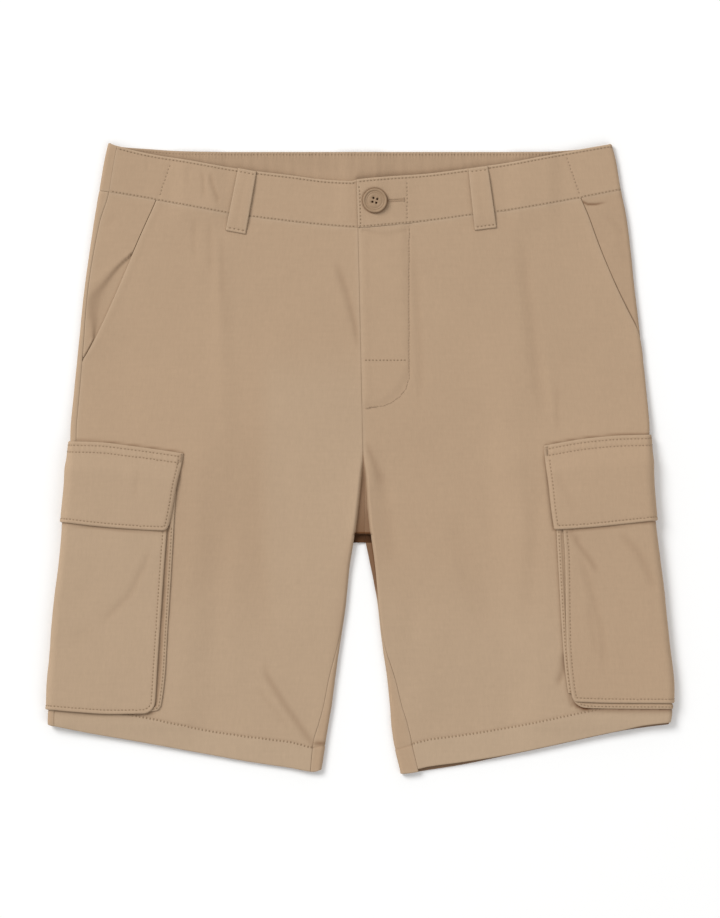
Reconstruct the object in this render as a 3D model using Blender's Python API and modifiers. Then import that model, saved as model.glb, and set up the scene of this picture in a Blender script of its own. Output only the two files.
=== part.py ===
"""Cargo shorts in cotton twill, lying face up on a flat surface.

+X is the wearer's left, +Y runs up towards the waistband and +Z up from the surface that the shorts lie on.
The origin is on that surface, under the middle of the outline. Tables and sizes are in millimetres; the
meshes are in metres.

Each leg is a flattened tube. Its back panel lies on the surface and wraps round the side fold and the inner
fold up to the seams on the front, where the front panel takes over. The tube's cross-section comes from the
tables below, and every piece that lies on a panel is made from that panel's own points, moved out.
"""

import math

import bmesh
import bpy
import numpy as np

MM = 0.001

# Cloth and gaps
CLOTH = 1.2
POCKET_CLOTH = 1.1
WAISTBAND_CLOTH = 1.8
LAP_CLOTH = 1.5
LOOP_CLOTH = 1.3
FLAP_CLOTH = 1.4
GAP = 0.3
SEAM = GAP / 2

# How thick the garment lies, from the back panel's outside to the front panel's outside
LOFT = 4.6
SIDE_ROLL = 1.4
SIDE_ROLL_REACH = 30.0
INNER_ROLL = 1.2
INNER_ROLL_REACH = 22.0
FOLD_RADIUS = 3.0
ARC = math.pi / 2 * FOLD_RADIUS

# The outside of each layer of the cargo pocket, above the leg's cloth
GUSSET_OUT = GAP + POCKET_CLOTH
POCKET_OUT = GUSSET_OUT + GAP + POCKET_CLOTH
FLAP_OUT = POCKET_OUT + GAP + FLAP_CLOTH
FLAP_TOP_OUT = GAP + FLAP_CLOTH
POCKET_BACK_REACH = 95.0
FLAP_BACK_REACH = 99.0
GUSSET_WIDTH = 13.0
GUSSET_BACK_REACH = 101.0
GUSSET_DROP = {"right": -1.5, "left": 5.0}
POCKET_STRAIGHT = 5
UNDER_FLAT = 108.0
UNDER_FADE = 34.0

# Waistband and fly
WAISTBAND_MIDDLE = 250.0
TAB_FROM = -6.0
TAB_END = 25.0
LAP_RISE = 1.6
LAP_FADE = 26.0
TAB_DROP = 0.4
TAB_DROP_FROM = -30.0
TAB_DROP_FADE = 24.0
TAB_TUCK = 2.2
TAB_CLOTH = WAISTBAND_CLOTH - TAB_DROP
FLY_WIDTH = 43.0
FLY_END = 43.0
FLY_CURVE_TOP = 85.0
FLY_RISE = 0.8
FLY_EDGE = 7.0

# Crotch
CROTCH_TOP = 14.0
CROTCH_ROLL_TOP = 34.0
CROTCH_ROLL_FADE = 50.0
CROTCH_OVERLAP = 12.0
FRONT_CROTCH = -64.5
BACK_CROTCH = -71.5
VALLEY = 2.9
VALLEY_FADE = 36.0
VALLEY_HALF = 3.0

# Back waistband gathers
GATHER_PITCH = 12.0
GATHER_FROM = -166.0
GATHER_TO = 180.0
GATHER_FADE = 20.0
GATHER_DEPTH = 0.5
BACK_BAND_COLUMNS = 142

# Button: its middle, its half section as (radius, height) and its four holes
BUTTON_AT = (12.2, 219.3)
BUTTON_PROFILE = [
    (0.0, 1.7),
    (5.6, 1.7),
    (7.6, 2.2),
    (9.0, 2.9),
    (10.1, 2.7),
    (10.7, 1.7),
    (10.0, 0.5),
    (7.5, 0.0),
    (0.0, 0.0),
]
BUTTON_STEPS = 28
BUTTON_HOLE_RADIUS = 0.8
BUTTON_HOLE_OFFSET = 1.9
BUTTON_TURN = 30.0

# Hip facing
FACING_BOTTOM = 76.0
FACING_SHUT = 2.5
FACING_COLUMNS = 8
FACING_RAMP = 5.0
FACING_RAMP_SHARE = 0.6
FACING_SEAM = 0.6

SIDES = {"right": -1, "left": 1}


class Table:
    """Rows of named columns, read between the rows on a smooth curve that never overshoots them."""

    def __init__(self, names, rows):
        rows = sorted(rows)
        self.keys = np.array([row[0] for row in rows], float)
        self.columns = {}
        for place, name in enumerate(names.split()[1:], start=1):
            values = np.array([row[place] for row in rows], float)
            self.columns[name] = (values, self.slopes(values))

    def slopes(self, values):
        steps = np.diff(values) / np.diff(self.keys)
        inner = np.where(steps[1:] * steps[:-1] > 0, 2 * steps[1:] * steps[:-1], 0)
        total = np.where(np.abs(steps[1:] + steps[:-1]) > 1e-9, steps[1:] + steps[:-1], 1)
        return np.concatenate([steps[:1], inner / total, steps[-1:]])

    def at(self, name, key):
        values, slopes = self.columns[name]
        key = min(max(key, self.keys[0]), self.keys[-1])
        row = min(int(np.searchsorted(self.keys, key, side="right")) - 1, len(self.keys) - 2)
        span = self.keys[row + 1] - self.keys[row]
        t = (key - self.keys[row]) / span
        ease = t * t * (3 - 2 * t)
        return float(
            values[row] * (1 - ease)
            + values[row + 1] * ease
            + slopes[row] * span * t * (1 - t) ** 2
            - slopes[row + 1] * span * t * t * (1 - t)
        )


# The outline at the sides, over the cargo pockets: distance from the centre line at each height
OUTLINE = Table(
    "y right left",
    [
        (268.3, 214.6, 213.3),
        (253.8, 217.8, 217.2),
        (227.5, 222.3, 221.6),
        (202.8, 226.5, 226.6),
        (168.8, 231.6, 230.6),
        (134.8, 235.9, 234.2),
        (100.8, 239.3, 238.2),
        (66.0, 242.7, 242.3),
        (32.0, 246.1, 245.5),
        (12.0, 248.3, 246.9),
        (-20.0, 252.0, 249.8),
        (-52.0, 255.2, 252.4),
        (-69.0, 256.3, 254.3),
        (-95.0, 258.2, 257.1),
        (-129.0, 261.6, 260.0),
        (-163.0, 264.3, 263.7),
        (-197.0, 267.1, 266.8),
        (-214.0, 267.4, 266.6),
        (-226.0, 266.2, 263.4),
    ],
)

# The fold inside each leg, as X
INNER = Table(
    "y right left",
    [
        (40.0, 1.3, 1.3),
        (5.0, 2.0, 2.4),
        (-15.0, 0.8, 4.5),
        (-38.0, -1.5, 5.9),
        (-61.0, -4.2, 8.1),
        (-74.0, -6.3, 9.8),
        (-90.0, -8.9, 11.9),
        (-120.0, -11.9, 14.4),
        (-163.0, -18.3, 19.1),
        (-188.0, -21.7, 22.9),
        (-211.0, -24.6, 25.1),
        (-228.0, -27.6, 26.4),
        (-240.0, -29.7, 28.1),
        (-266.0, -33.6, 34.0),
    ],
)

# The line where the two halves meet, on the front and on the back, as X
CENTRE = Table(
    "y front back",
    [
        (262.0, -4.0, 1.5),
        (194.3, -2.1, 1.5),
        (43.0, 1.3, 1.5),
        (5.0, 2.1, 2.6),
        (-27.0, 3.6, 3.6),
        (-75.0, 3.8, 3.8),
    ],
)

# Side seam, measured along the cloth from the side fold: + on the front, - underneath
SIDE_SEAM = Table(
    "y right left",
    [
        (268.0, 9.7, -2.0),
        (226.0, 10.2, -2.0),
        (200.0, 6.7, -2.0),
        (143.0, 4.9, -2.0),
        (84.0, 6.2, -2.0),
        (0.0, 7.0, -2.0),
        (-227.0, 7.3, -2.0),
    ],
)

# Slant pocket mouth, measured along the cloth from the side fold
MOUTH = Table(
    "y right left",
    [
        (230.0, 54.0, 39.0),
        (219.0, 51.5, 36.6),
        (186.0, 42.0, 29.2),
        (148.0, 31.2, 17.6),
        (126.0, 24.0, 9.5),
        (105.0, 16.2, 1.6),
        (90.0, 9.7, -1.6),
        (83.0, 6.3, -2.0),
    ],
)

# Inseam, measured along the cloth from the inner fold: + on the front
INSEAM = Table(
    "y right left",
    [
        (-60.0, 0.3, 0.5),
        (-110.0, 0.6, 1.6),
        (-147.0, 2.3, 2.6),
        (-188.0, 7.2, 8.6),
        (-211.0, 8.8, 12.1),
        (-226.0, 10.3, 15.6),
        (-240.0, 12.0, 17.0),
        (-268.0, 10.8, 17.0),
    ],
)

# Waistband: its seam and its top edge, in front and behind
WAIST = Table(
    "x seam top back_seam back_top",
    [
        (-224.0, 228.1, 270.0, 228.1, 270.0),
        (-214.0, 226.5, 268.2, 226.7, 268.2),
        (-205.0, 225.0, 265.4, 225.6, 265.4),
        (-181.0, 221.0, 259.6, 223.6, 263.4),
        (-148.0, 214.8, 254.2, 222.0, 261.4),
        (-105.0, 207.2, 246.8, 221.0, 260.9),
        (-60.0, 201.4, 241.2, 221.0, 260.9),
        (-26.0, 197.8, 237.1, 221.0, 260.9),
        (-3.0, 196.4, 236.2, 221.0, 260.9),
        (18.0, 198.0, 239.4, 221.0, 260.9),
        (58.0, 201.9, 242.6, 221.0, 260.9),
        (95.0, 206.9, 247.4, 221.0, 260.9),
        (127.0, 210.9, 252.0, 221.4, 260.9),
        (153.0, 215.2, 256.8, 222.2, 261.0),
        (187.0, 221.5, 263.0, 223.8, 263.1),
        (213.0, 226.6, 267.5, 226.6, 267.5),
        (222.0, 228.3, 269.0, 228.3, 269.0),
    ],
)

# Hem edge, in front and behind
HEM = Table(
    "x front back",
    [
        (-267.0, -226.0, -226.2),
        (-232.0, -233.2, -233.4),
        (-193.0, -240.0, -240.2),
        (-132.0, -251.1, -251.3),
        (-94.0, -257.9, -258.1),
        (-60.0, -263.0, -263.2),
        (-40.0, -266.2, -266.4),
        (-33.0, -264.7, -264.9),
        (0.0, -266.0, -266.5),
        (34.0, -266.8, -268.1),
        (59.0, -261.8, -264.7),
        (85.0, -258.4, -260.6),
        (123.0, -252.3, -252.9),
        (153.0, -246.2, -246.6),
        (193.0, -237.3, -237.7),
        (223.0, -230.9, -231.4),
        (242.0, -226.8, -228.4),
        (264.0, -224.3, -225.7),
    ],
)

# How far the pocket's layers push the leg in at its side fold, and up from the surface it lies on
POCKET_STACK = Table(
    "y in up",
    [
        (84.0, 0.0, 0.0),
        (32.0, 0.0, 2.0),
        (15.0, 1.2, 3.2),
        (0.0, 2.8, 4.3),
        (-12.0, 3.9, FLAP_OUT),
        (-25.0, FLAP_OUT, FLAP_OUT),
        (-62.0, FLAP_OUT, FLAP_OUT),
        (-130.0, POCKET_OUT, POCKET_OUT),
        (-206.0, POCKET_OUT, POCKET_OUT),
        (-219.0, 1.2, POCKET_OUT),
        (-224.0, 0.5, POCKET_OUT - 0.1),
        (-234.0, 0.0, 1.4),
        (-246.0, 0.0, 0.5),
    ],
)

# How far out the flap's outside stands, by distance below its top edge
FLAP_STACK = Table(
    "below out",
    [(0.0, FLAP_TOP_OUT), (13.0, 2.9), (26.0, FLAP_OUT), (90.0, FLAP_OUT)],
)
POCKET_TOP_BELOW = 33.0
POCKET_MIDDLE = -100.0

# The cargo pocket's front edges, as distance from the centre line
POCKET = Table(
    "y face_right face_left gusset_right gusset_left",
    [
        (12.0, 160.2, 167.0, 153.6, 161.4),
        (-48.0, 163.4, 171.0, 158.0, 165.6),
        (-86.0, 166.3, 173.6, 160.1, 167.6),
        (-154.0, 171.0, 174.8, 164.3, 171.6),
        (-182.0, 172.8, 176.8, 165.9, 174.0),
        (-205.0, 174.2, 180.2, 168.6, 177.6),
        (-218.0, 176.0, 184.0, 171.0, 182.0),
    ],
)
FLAP = Table(
    "y right left",
    [
        (20.0, 149.6, 155.6),
        (4.0, 150.4, 156.2),
        (-23.0, 156.0, 159.6),
        (-44.0, 159.7, 161.9),
        (-62.0, 163.5, 164.6),
    ],
)

# Heights of the pocket's level edges, by distance from the side fold along the cloth
POCKET_EDGES = Table(
    "p flap_top_right flap_top_left flap_low_right flap_low_left low_right low_left",
    [
        (0.0, 14.9, 20.5, -54.0, -52.6, -213.0, -207.7),
        (25.0, 14.2, 19.9, -57.1, -55.4, -215.2, -207.7),
        (55.0, 10.8, 17.3, -59.7, -58.4, -217.0, -207.5),
        (85.0, 6.6, 12.3, -61.2, -60.3, -216.6, -206.4),
        (105.0, 3.4, 8.6, -61.4, -60.7, -214.0, -205.0),
    ],
)

# Soft ridges (+) and troughs (-) in the front: the crease's ends, its half width and its height
CREASE_TAPER = 0.4
CREASE_OVERRUN = 0.16
CREASES = [
    {"name": "leg diagonal", "start": (-81.0, -178.0), "end": (-49.0, -240.0), "width": 9.0, "height": 0.7},
    {"name": "leg hollow", "start": (-97.0, -182.0), "end": (-66.0, -240.0), "width": 10.0, "height": -0.5},
    {"name": "inner thigh", "start": (6.0, 16.0), "end": (15.0, -30.0), "width": 6.0, "height": 0.6},
    {"name": "inner thigh hollow", "start": (16.0, 16.0), "end": (24.0, -34.0), "width": 7.0, "height": -0.4},
    {"name": "under the loop", "start": (-118.0, 188.0), "end": (-121.0, 90.0), "width": 8.0, "height": 0.5},
    {"name": "right hip", "start": (-146.0, 196.0), "end": (-150.0, 110.0), "width": 11.0, "height": -0.4},
    {"name": "left hip", "start": (128.0, 190.0), "end": (140.0, 90.0), "width": 12.0, "height": 0.5},
    {"name": "left thigh", "start": (150.0, -115.0), "end": (136.0, -200.0), "width": 10.0, "height": -0.5},
    {"name": "right thigh", "start": (-135.0, -70.0), "end": (-140.0, -190.0), "width": 12.0, "height": 0.4},
    {"name": "left leg", "start": (62.0, -130.0), "end": (52.0, -235.0), "width": 13.0, "height": 0.5},
]

# Front belt loops: the middle of the upper and the lower end, and the width at each
LOOPS = {
    "right": {"top": (-96.2, 245.6), "low": (-106.2, 192.4), "width_top": 16.0, "width_low": 17.4},
    "left": {"top": (99.9, 247.6), "low": (106.4, 195.2), "width_top": 16.8, "width_low": 18.8},
}
BACK_LOOPS = {"right": -138.0, "centre": 1.5, "left": 147.0}
BACK_LOOP_WIDTH = 17.0
BACK_LOOP_INSET = 1.0
BACK_LOOP_OUT = GAP + LOOP_CLOTH
BACK_LOOP_FADE = 16.0
LOOP_BUMP_LOW = 190.0
LOOP_BUMP_RISE = 28.0


def smooth(t):
    """0 up to t = 0, 1 from t = 1, and a soft step between."""
    t = min(max(t, 0.0), 1.0)
    return t * t * (3 - 2 * t)


def side_fold(side, y):
    """The leg's own side fold: the outline less the pocket's layers."""
    return OUTLINE.at(side, y) - POCKET_STACK.at("in", y)


def loop_bump(x):
    """1 over a back belt loop, fading to 0 at each side of it."""
    away = min(abs(x - at) for at in BACK_LOOPS.values())
    return 1 - smooth((away - BACK_LOOP_WIDTH / 2 - 2) / BACK_LOOP_FADE)


def under(side, x, y):
    """Height of the back panel's outside: 0, but raised by the pocket and the loops that lie beneath it."""
    inset = side_fold(side, y) - SIDES[side] * x
    pocket = POCKET_STACK.at("up", y) * (1 - smooth((inset - UNDER_FLAT) / UNDER_FADE))
    if y < LOOP_BUMP_LOW:
        return pocket
    return pocket + BACK_LOOP_OUT * loop_bump(x) * smooth((y - LOOP_BUMP_LOW) / LOOP_BUMP_RISE)


def crease_height(x, y):
    height = 0.0
    for crease in CREASES:
        x0, y0 = crease["start"]
        x1, y1 = crease["end"]
        length = math.hypot(x1 - x0, y1 - y0)
        along = ((x - x0) * (x1 - x0) + (y - y0) * (y1 - y0)) / length**2
        across = abs((x - x0) * (y1 - y0) - (y - y0) * (x1 - x0)) / length
        ends = smooth((along + CREASE_OVERRUN) / CREASE_TAPER)
        ends *= smooth((1 - along + CREASE_OVERRUN) / CREASE_TAPER)
        height += crease["height"] * ends * math.exp(-((across / crease["width"]) ** 2))
    return height


def fly_rise(x, y):
    """The left front's second layer of cloth inside the fly's J stitch."""
    edge = CENTRE.at("front", y)
    drop = (FLY_CURVE_TOP - min(y, FLY_CURVE_TOP)) / (FLY_CURVE_TOP - FLY_END)
    corner = math.sqrt(max(0.0, 1 - drop**2))
    width = FLY_WIDTH * corner
    return FLY_RISE * smooth((edge + width - x) / FLY_EDGE) * smooth((y - FLY_END) / FLY_EDGE)


def over(side, x, y):
    """Height of the front panel's outside."""
    sign = SIDES[side]
    fold = side_fold(side, y)
    inset = max(0.0, fold - sign * x)
    height = under(side, x, y) + LOFT + SIDE_ROLL * math.exp(-((inset / SIDE_ROLL_REACH) ** 2))
    height += crease_height(x, y)
    if side == "left" and y > FLY_END:
        height += fly_rise(x, y)
    if y < CROTCH_ROLL_TOP:
        inner = sign * (x - INNER.at(side, y))
        fade = smooth((CROTCH_ROLL_TOP - y) / CROTCH_ROLL_FADE)
        height += fade * INNER_ROLL * math.exp(-((max(inner, 0.0) / INNER_ROLL_REACH) ** 2))
        if y > BACK_CROTCH:
            depth = VALLEY * smooth((CROTCH_TOP - y) / VALLEY_FADE)
            height -= depth * smooth((VALLEY_HALF - inner) / (2 * VALLEY_HALF))
    return height


def band_over(side, x, y):
    """Height of the front waistband's outside, where the left end laps over the right end."""
    height = over(side, x, y) - crease_height(x, y)
    if side == "left":
        rise = LAP_RISE - LAP_RISE * smooth((x - TAB_END) / LAP_FADE)
        return height - fly_rise(x, y) + rise
    return height - TAB_DROP * smooth((x - TAB_DROP_FROM) / TAB_DROP_FADE)


def fold_point(centre_x, low, high, sign, place, out):
    """A point on a fold: place runs along the cloth from the fold's edge, + upwards."""
    middle = (low + high) / 2
    half = (high - low) / 2
    angle = math.pi / 2 * place / ARC
    x = centre_x + sign * (FOLD_RADIUS + out) * math.cos(angle)
    return x, middle + (half + out) * math.sin(angle)


def at_side(side, place, y, out=0.0, top=over):
    """The point place mm along the cloth from the side fold, + over the front and - under the back."""
    sign = SIDES[side]
    centre_x = sign * (side_fold(side, y) - FOLD_RADIUS)
    if abs(place) <= ARC:
        low = under(side, centre_x, y)
        x, z = fold_point(centre_x, low, top(side, centre_x, y), sign, place, out)
        return x, y, z
    x = centre_x - sign * (abs(place) - ARC)
    if place > 0:
        return x, y, top(side, x, y) + out
    return x, y, under(side, x, y) - out


def at_inseam(side, place, y, out=0.0):
    """The point place mm along the cloth from the fold inside the leg, + over the front."""
    sign = SIDES[side]
    centre_x = INNER.at(side, y) + sign * FOLD_RADIUS
    if abs(place) <= ARC:
        low = under(side, centre_x, y)
        x, z = fold_point(centre_x, low, over(side, centre_x, y), -sign, place, out)
        return x, y, z
    x = centre_x + sign * (abs(place) - ARC)
    if place > 0:
        return x, y, over(side, x, y) + out
    return x, y, under(side, x, y) - out


def side_place(side, x, y):
    """The distance along the front from the side fold to x."""
    return side_fold(side, y) - SIDES[side] * x - FOLD_RADIUS + ARC


def material(name, colour, roughness):
    made = bpy.data.materials.new(name)
    made.use_nodes = True
    shader = made.node_tree.nodes["Principled BSDF"]
    shader.inputs["Base Color"].default_value = (*colour, 1.0)
    shader.inputs["Roughness"].default_value = roughness
    shader.inputs["Metallic"].default_value = 0.0
    return made


TWILL = (0.47, 0.335, 0.222)
TWILL_SHADE = (0.43, 0.305, 0.2)
BUTTON_COLOUR = (0.33, 0.225, 0.15)


def finished(name, mesh, colour, roughness=0.9):
    """Puts a mesh in the scene as one named piece with its own material."""
    piece = bpy.data.objects.new(name, mesh)
    mesh.materials.append(material(f"{name}_material", colour, roughness))
    mesh.shade_smooth()
    bpy.data.collections["cargo_shorts"].objects.link(piece)
    return piece


def cloth(name, point, columns, rows, thickness, colour=TWILL):
    """A cloth wall: a flat grid made into a slab, then laid on point(column, row, depth).

    depth is 0 on the wall's outside and the wall's thickness on its inside.
    """
    slab = 0.1
    mesh = bpy.data.meshes.new(name)
    work = bmesh.new()
    bmesh.ops.create_grid(work, x_segments=columns, y_segments=rows, size=1.0)
    bmesh.ops.solidify(work, geom=work.faces[:], thickness=slab)
    for vertex in work.verts:
        column = round((vertex.co.x + 1) / 2 * columns)
        row = round((vertex.co.y + 1) / 2 * rows)
        depth = thickness if abs(vertex.co.z) > slab / 2 else 0.0
        x, y, z = point(column, row, depth)
        vertex.co = (x * MM, y * MM, z * MM)
    bmesh.ops.recalc_face_normals(work, faces=work.faces[:])
    if work.calc_volume(signed=True) < 0:
        bmesh.ops.reverse_faces(work, faces=work.faces[:])
    work.to_mesh(mesh)
    work.free()
    return finished(name, mesh, colour)


def settle(place, level_at, start):
    """The height at which a column's own place agrees with the edge that it follows."""
    y = start
    for _ in range(4):
        y = level_at(place(y)[0])
    return y


LEVELS = [210, 190, 168, 146, 128, 116, 107, 99, 91, 82, 60, 38, 22, 8, -6, -22, -42]
LOW_LEVELS = [-96, -122, -150, -178, -200, -222, -246]
FRONT_LEVELS = LEVELS + [-62.5, -66.5] + LOW_LEVELS
BACK_LEVELS = LEVELS + [-69.5, -73.5] + LOW_LEVELS
EASE_ROWS = 5


def level(levels, row, first, last):
    """The height of a row: level across the leg, easing to the waist seam above and to the hem below."""
    bottom = len(levels) - 1
    above = max(0.0, 1 - row / EASE_ROWS)
    below = max(0.0, 1 - (bottom - row) / EASE_ROWS)
    return levels[row] + above * (first - levels[0]) + below * (last - levels[bottom])


# Stations on the side fold, and where the side seam lies among them: the back takes those below it
FOLD_STEPS = [ARC * step / 3 for step in (3, 2, 1, 0, -1, -2, -3)]
FOLD_SPLIT = {"right": 4.75, "left": -2.05}

# Columns of the panels, and the first and last stations of a front as distances from its edges
INNER_COLUMNS = 7
INNER_ARC_SHARE = 0.7
BACK_FLAT_COLUMNS = 10
FRONT_START = [0.0, 1.6, 3.2, 4.8, 6.8, 13.0]
FRONT_END = [17.0, 11.5, 8.5, 6.0, 4.0, 2.0, 0.0]
FRONT_FLAT_COLUMNS = 8


def back_leg_place(side, column, y, depth=0.0):
    """A back panel's point: side seam, side fold, underneath, then up to the inseam or the centre seam."""
    sign = SIDES[side]
    folds = back_fold_places(side, y)
    if column < len(folds):
        return at_side(side, folds[column], y, -depth)
    start = at_side(side, -ARC, y)[0]
    open_leg = y < BACK_CROTCH
    if open_leg:
        end = INNER.at(side, y) + sign * FOLD_RADIUS
        reach = INSEAM.at(side, y) - SEAM + ARC
    else:
        reach = CROTCH_OVERLAP
        end = CENTRE.at("back", y) + sign * (SEAM + reach)
    step = column - len(folds) + 1
    if step <= BACK_FLAT_COLUMNS:
        x = start + (end - start) * step / BACK_FLAT_COLUMNS
        return x, y, under(side, x, y) + depth
    arc = min(2 * ARC, INNER_ARC_SHARE * reach)
    last = step - BACK_FLAT_COLUMNS
    steps_on_arc = INNER_COLUMNS - 2
    if last <= steps_on_arc:
        along = arc * last / steps_on_arc
    else:
        along = arc + (reach - arc) * (last - steps_on_arc) / 2
    if open_leg:
        return at_inseam(side, along - ARC, y, -depth)
    x = end - sign * along
    return x, y, under(side, x, y) + depth


def back_fold_places(side, y):
    """Stations from the side seam round the side fold, as distances along the cloth."""
    return [SIDE_SEAM.at(side, y) - SEAM] + [step for step in FOLD_STEPS if step < FOLD_SPLIT[side]]


def back_leg(side):
    columns = len(back_fold_places(side, 0.0)) + BACK_FLAT_COLUMNS + INNER_COLUMNS - 1
    rows = len(BACK_LEVELS) - 1

    def point(column, row, depth):
        def place(y):
            return back_leg_place(side, column, y)

        def edge(x):
            return level(BACK_LEVELS, row, WAIST.at("back_seam", x) - SEAM, HEM.at("back", x))

        return back_leg_place(side, column, settle(place, edge, BACK_LEVELS[row]), depth)

    return cloth(f"back_leg_{side}", point, columns, rows, CLOTH, TWILL_SHADE)


def front_leg_place(side, column, y, depth=0.0):
    """A front panel's point: pocket mouth or side seam, over the front, to the fly, crotch or inseam."""
    sign = SIDES[side]
    mouth = MOUTH.at(side, y) if y > MOUTH.keys[0] else -ARC
    edge = max(SIDE_SEAM.at(side, y) + SEAM, mouth)
    if column < len(FRONT_START):
        return at_side(side, edge + FRONT_START[column], y, -depth)
    start = at_side(side, edge + FRONT_START[-1], y)[0]
    open_leg = y < FRONT_CROTCH
    if open_leg:
        seam = INSEAM.at(side, y) + SEAM
        end = at_inseam(side, seam + FRONT_END[0], y)[0]
    else:
        seam = CENTRE.at("front", y) + sign * SEAM
        end = seam + sign * FRONT_END[0]
    step = column - len(FRONT_START) + 1
    if step < FRONT_FLAT_COLUMNS:
        x = start + (end - start) * step / FRONT_FLAT_COLUMNS
        return x, y, over(side, x, y) - depth
    left = FRONT_END[step - FRONT_FLAT_COLUMNS]
    if open_leg:
        return at_inseam(side, seam + left, y, -depth)
    x = seam + sign * left
    return x, y, over(side, x, y) - depth


def front_leg(side):
    columns = len(FRONT_START) + FRONT_FLAT_COLUMNS - 1 + len(FRONT_END) - 1
    rows = len(FRONT_LEVELS) - 1

    def point(column, row, depth):
        def place(y):
            return front_leg_place(side, column, y)

        def edge(x):
            return level(FRONT_LEVELS, row, WAIST.at("seam", x) - SEAM, HEM.at("front", x))

        return front_leg_place(side, column, settle(place, edge, FRONT_LEVELS[row]), depth)

    return cloth(f"front_leg_{side}", point, columns, rows, CLOTH)


def facing_stations(seam, mouth):
    """Stations of the facing along the cloth: close together at the seam, then to the mouth and under it."""
    width = max(mouth - seam, FACING_SHUT / 2)
    close = min(1.4, width / FACING_COLUMNS)
    stations = [seam + close * step for step in range(6)]
    left = seam + width - stations[-1]
    stations += [stations[-1] + left * step / 3 for step in (1, 2, 3)]
    return stations + [seam + width + reach for reach in FRONT_START[1:]]


def hip_facing(side):
    """The facing that shows in the slant pocket's mouth: side seam to a strip under the front panel."""
    levels = [y for y in FRONT_LEVELS if y > FACING_BOTTOM] + [FACING_BOTTOM]
    rows = len(levels) - 1
    columns = FACING_COLUMNS + len(FRONT_START) - 1
    beneath = -(CLOTH + GAP)

    def along_at(column, y):
        seam = SIDE_SEAM.at(side, y) + SEAM
        mouth = max(seam, MOUTH.at(side, y))
        return seam, mouth - seam, facing_stations(seam, mouth)[column]

    def point(column, row, depth):
        def place(y):
            return at_side(side, along_at(column, y)[2], y)

        def edge(x):
            return level(levels, row, WAIST.at("seam", x) - FACING_SEAM, FACING_BOTTOM)

        y = settle(place, edge, levels[row])
        seam, width, along = along_at(column, y)
        if width < FACING_SHUT:
            return at_side(side, along, y, beneath - depth)
        ramp = min(FACING_RAMP, FACING_RAMP_SHARE * width)
        return at_side(side, along, y, beneath * smooth((along - seam) / ramp) - depth)

    return cloth(f"hip_facing_{side}", point, columns, rows, POCKET_CLOTH, TWILL_SHADE)


def waistband_front(side):
    """One half of the front waistband. The right end runs on under the left end as a tab for the button."""
    flat, rows = 22, 3
    folds = [step for step in FOLD_STEPS[::-1] if step > FOLD_SPLIT[side]]
    stations = [SIDE_SEAM.at(side, WAISTBAND_MIDDLE) + SEAM] + folds

    def place(column, y, depth=0.0):
        if column < len(stations):
            return at_side(side, stations[column], y, -depth, top=band_over)
        start = at_side(side, stations[-1], y)[0]
        end = CENTRE.at("front", y) + SEAM if side == "left" else TAB_END
        x = start + (end - start) * (column - len(stations) + 1) / flat
        return x, y, band_over(side, x, y) - depth

    def point(column, row, depth):
        def edge(x):
            tuck = TAB_TUCK if side == "right" and x > TAB_FROM else 0.0
            low = WAIST.at("seam", x) + SEAM + tuck
            high = WAIST.at("top", x) - tuck
            return low + (high - low) * row / rows

        return place(column, settle(lambda y: place(column, y), edge, WAISTBAND_MIDDLE), depth)

    thickness = LAP_CLOTH if side == "left" else TAB_CLOTH
    return cloth(f"waistband_front_{side}", point, len(folds) + flat, rows, thickness)


def waistband_back():
    """The back waistband, from seam to seam round both side folds, gathered by its elastic."""
    rows = 2
    flat = BACK_BAND_COLUMNS
    first = back_fold_places("right", WAISTBAND_MIDDLE)
    last = back_fold_places("left", WAISTBAND_MIDDLE)[::-1]

    def gather(x):
        inside = smooth((x - GATHER_FROM) / GATHER_FADE) * smooth((GATHER_TO - x) / GATHER_FADE)
        wave = 0.5 - 0.5 * math.cos(2 * math.pi * (x - GATHER_FROM) / GATHER_PITCH)
        return GATHER_DEPTH * inside * wave

    def place(column, y, depth=0.0):
        if column < len(first):
            return at_side("right", first[column], y, -depth, top=band_over)
        step = column - len(first) + 1
        if step >= flat:
            return at_side("left", last[step - flat], y, -depth, top=band_over)
        start = at_side("right", -ARC, y)[0]
        end = at_side("left", -ARC, y)[0]
        x = start + (end - start) * step / flat
        inside = depth - gather(x) if depth else 0.0
        return x, y, under("left", x, y) + inside

    def point(column, row, depth):
        def edge(x):
            low = WAIST.at("back_seam", x) + SEAM
            high = WAIST.at("back_top", x)
            return low + (high - low) * row / rows

        return place(column, settle(lambda y: place(column, y), edge, WAISTBAND_MIDDLE), depth)

    columns = len(first) + flat - 1 + len(last) - 1
    return cloth("waistband_back", point, columns, rows, WAISTBAND_CLOTH, TWILL_SHADE)


def belt_loop(side):
    """A front belt loop, from the waistband's top edge to just below its seam."""
    loop = LOOPS[side]
    columns, rows = 3, 8
    (x0, y0), (x1, y1) = loop["top"], loop["low"]
    length = math.hypot(x1 - x0, y1 - y0)
    across = ((y0 - y1) / length, (x1 - x0) / length)

    def point(column, row, depth):
        share = row / rows
        half = (loop["width_top"] * (1 - share) + loop["width_low"] * share) * (column / columns - 0.5)
        x = x0 + (x1 - x0) * share + across[0] * half
        y = y0 + (y1 - y0) * share + across[1] * half
        carried = band_over(side, x, y) + max(0.0, crease_height(x, y))
        return x, y, carried + GAP + LOOP_CLOTH - depth

    return cloth(f"belt_loop_{side}", point, columns, rows, LOOP_CLOTH)


def back_belt_loop(name, x):
    """A plain belt loop under the back waistband, sewn in at both its edges."""
    columns, rows = 2, 2
    low = WAIST.at("back_seam", x) + BACK_LOOP_INSET
    high = WAIST.at("back_top", x) - BACK_LOOP_INSET

    def point(column, row, depth):
        return x + BACK_LOOP_WIDTH * (column / columns - 0.5), low + (high - low) * row / rows, depth

    return cloth(f"belt_loop_back_{name}", point, columns, rows, LOOP_CLOTH)


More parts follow.
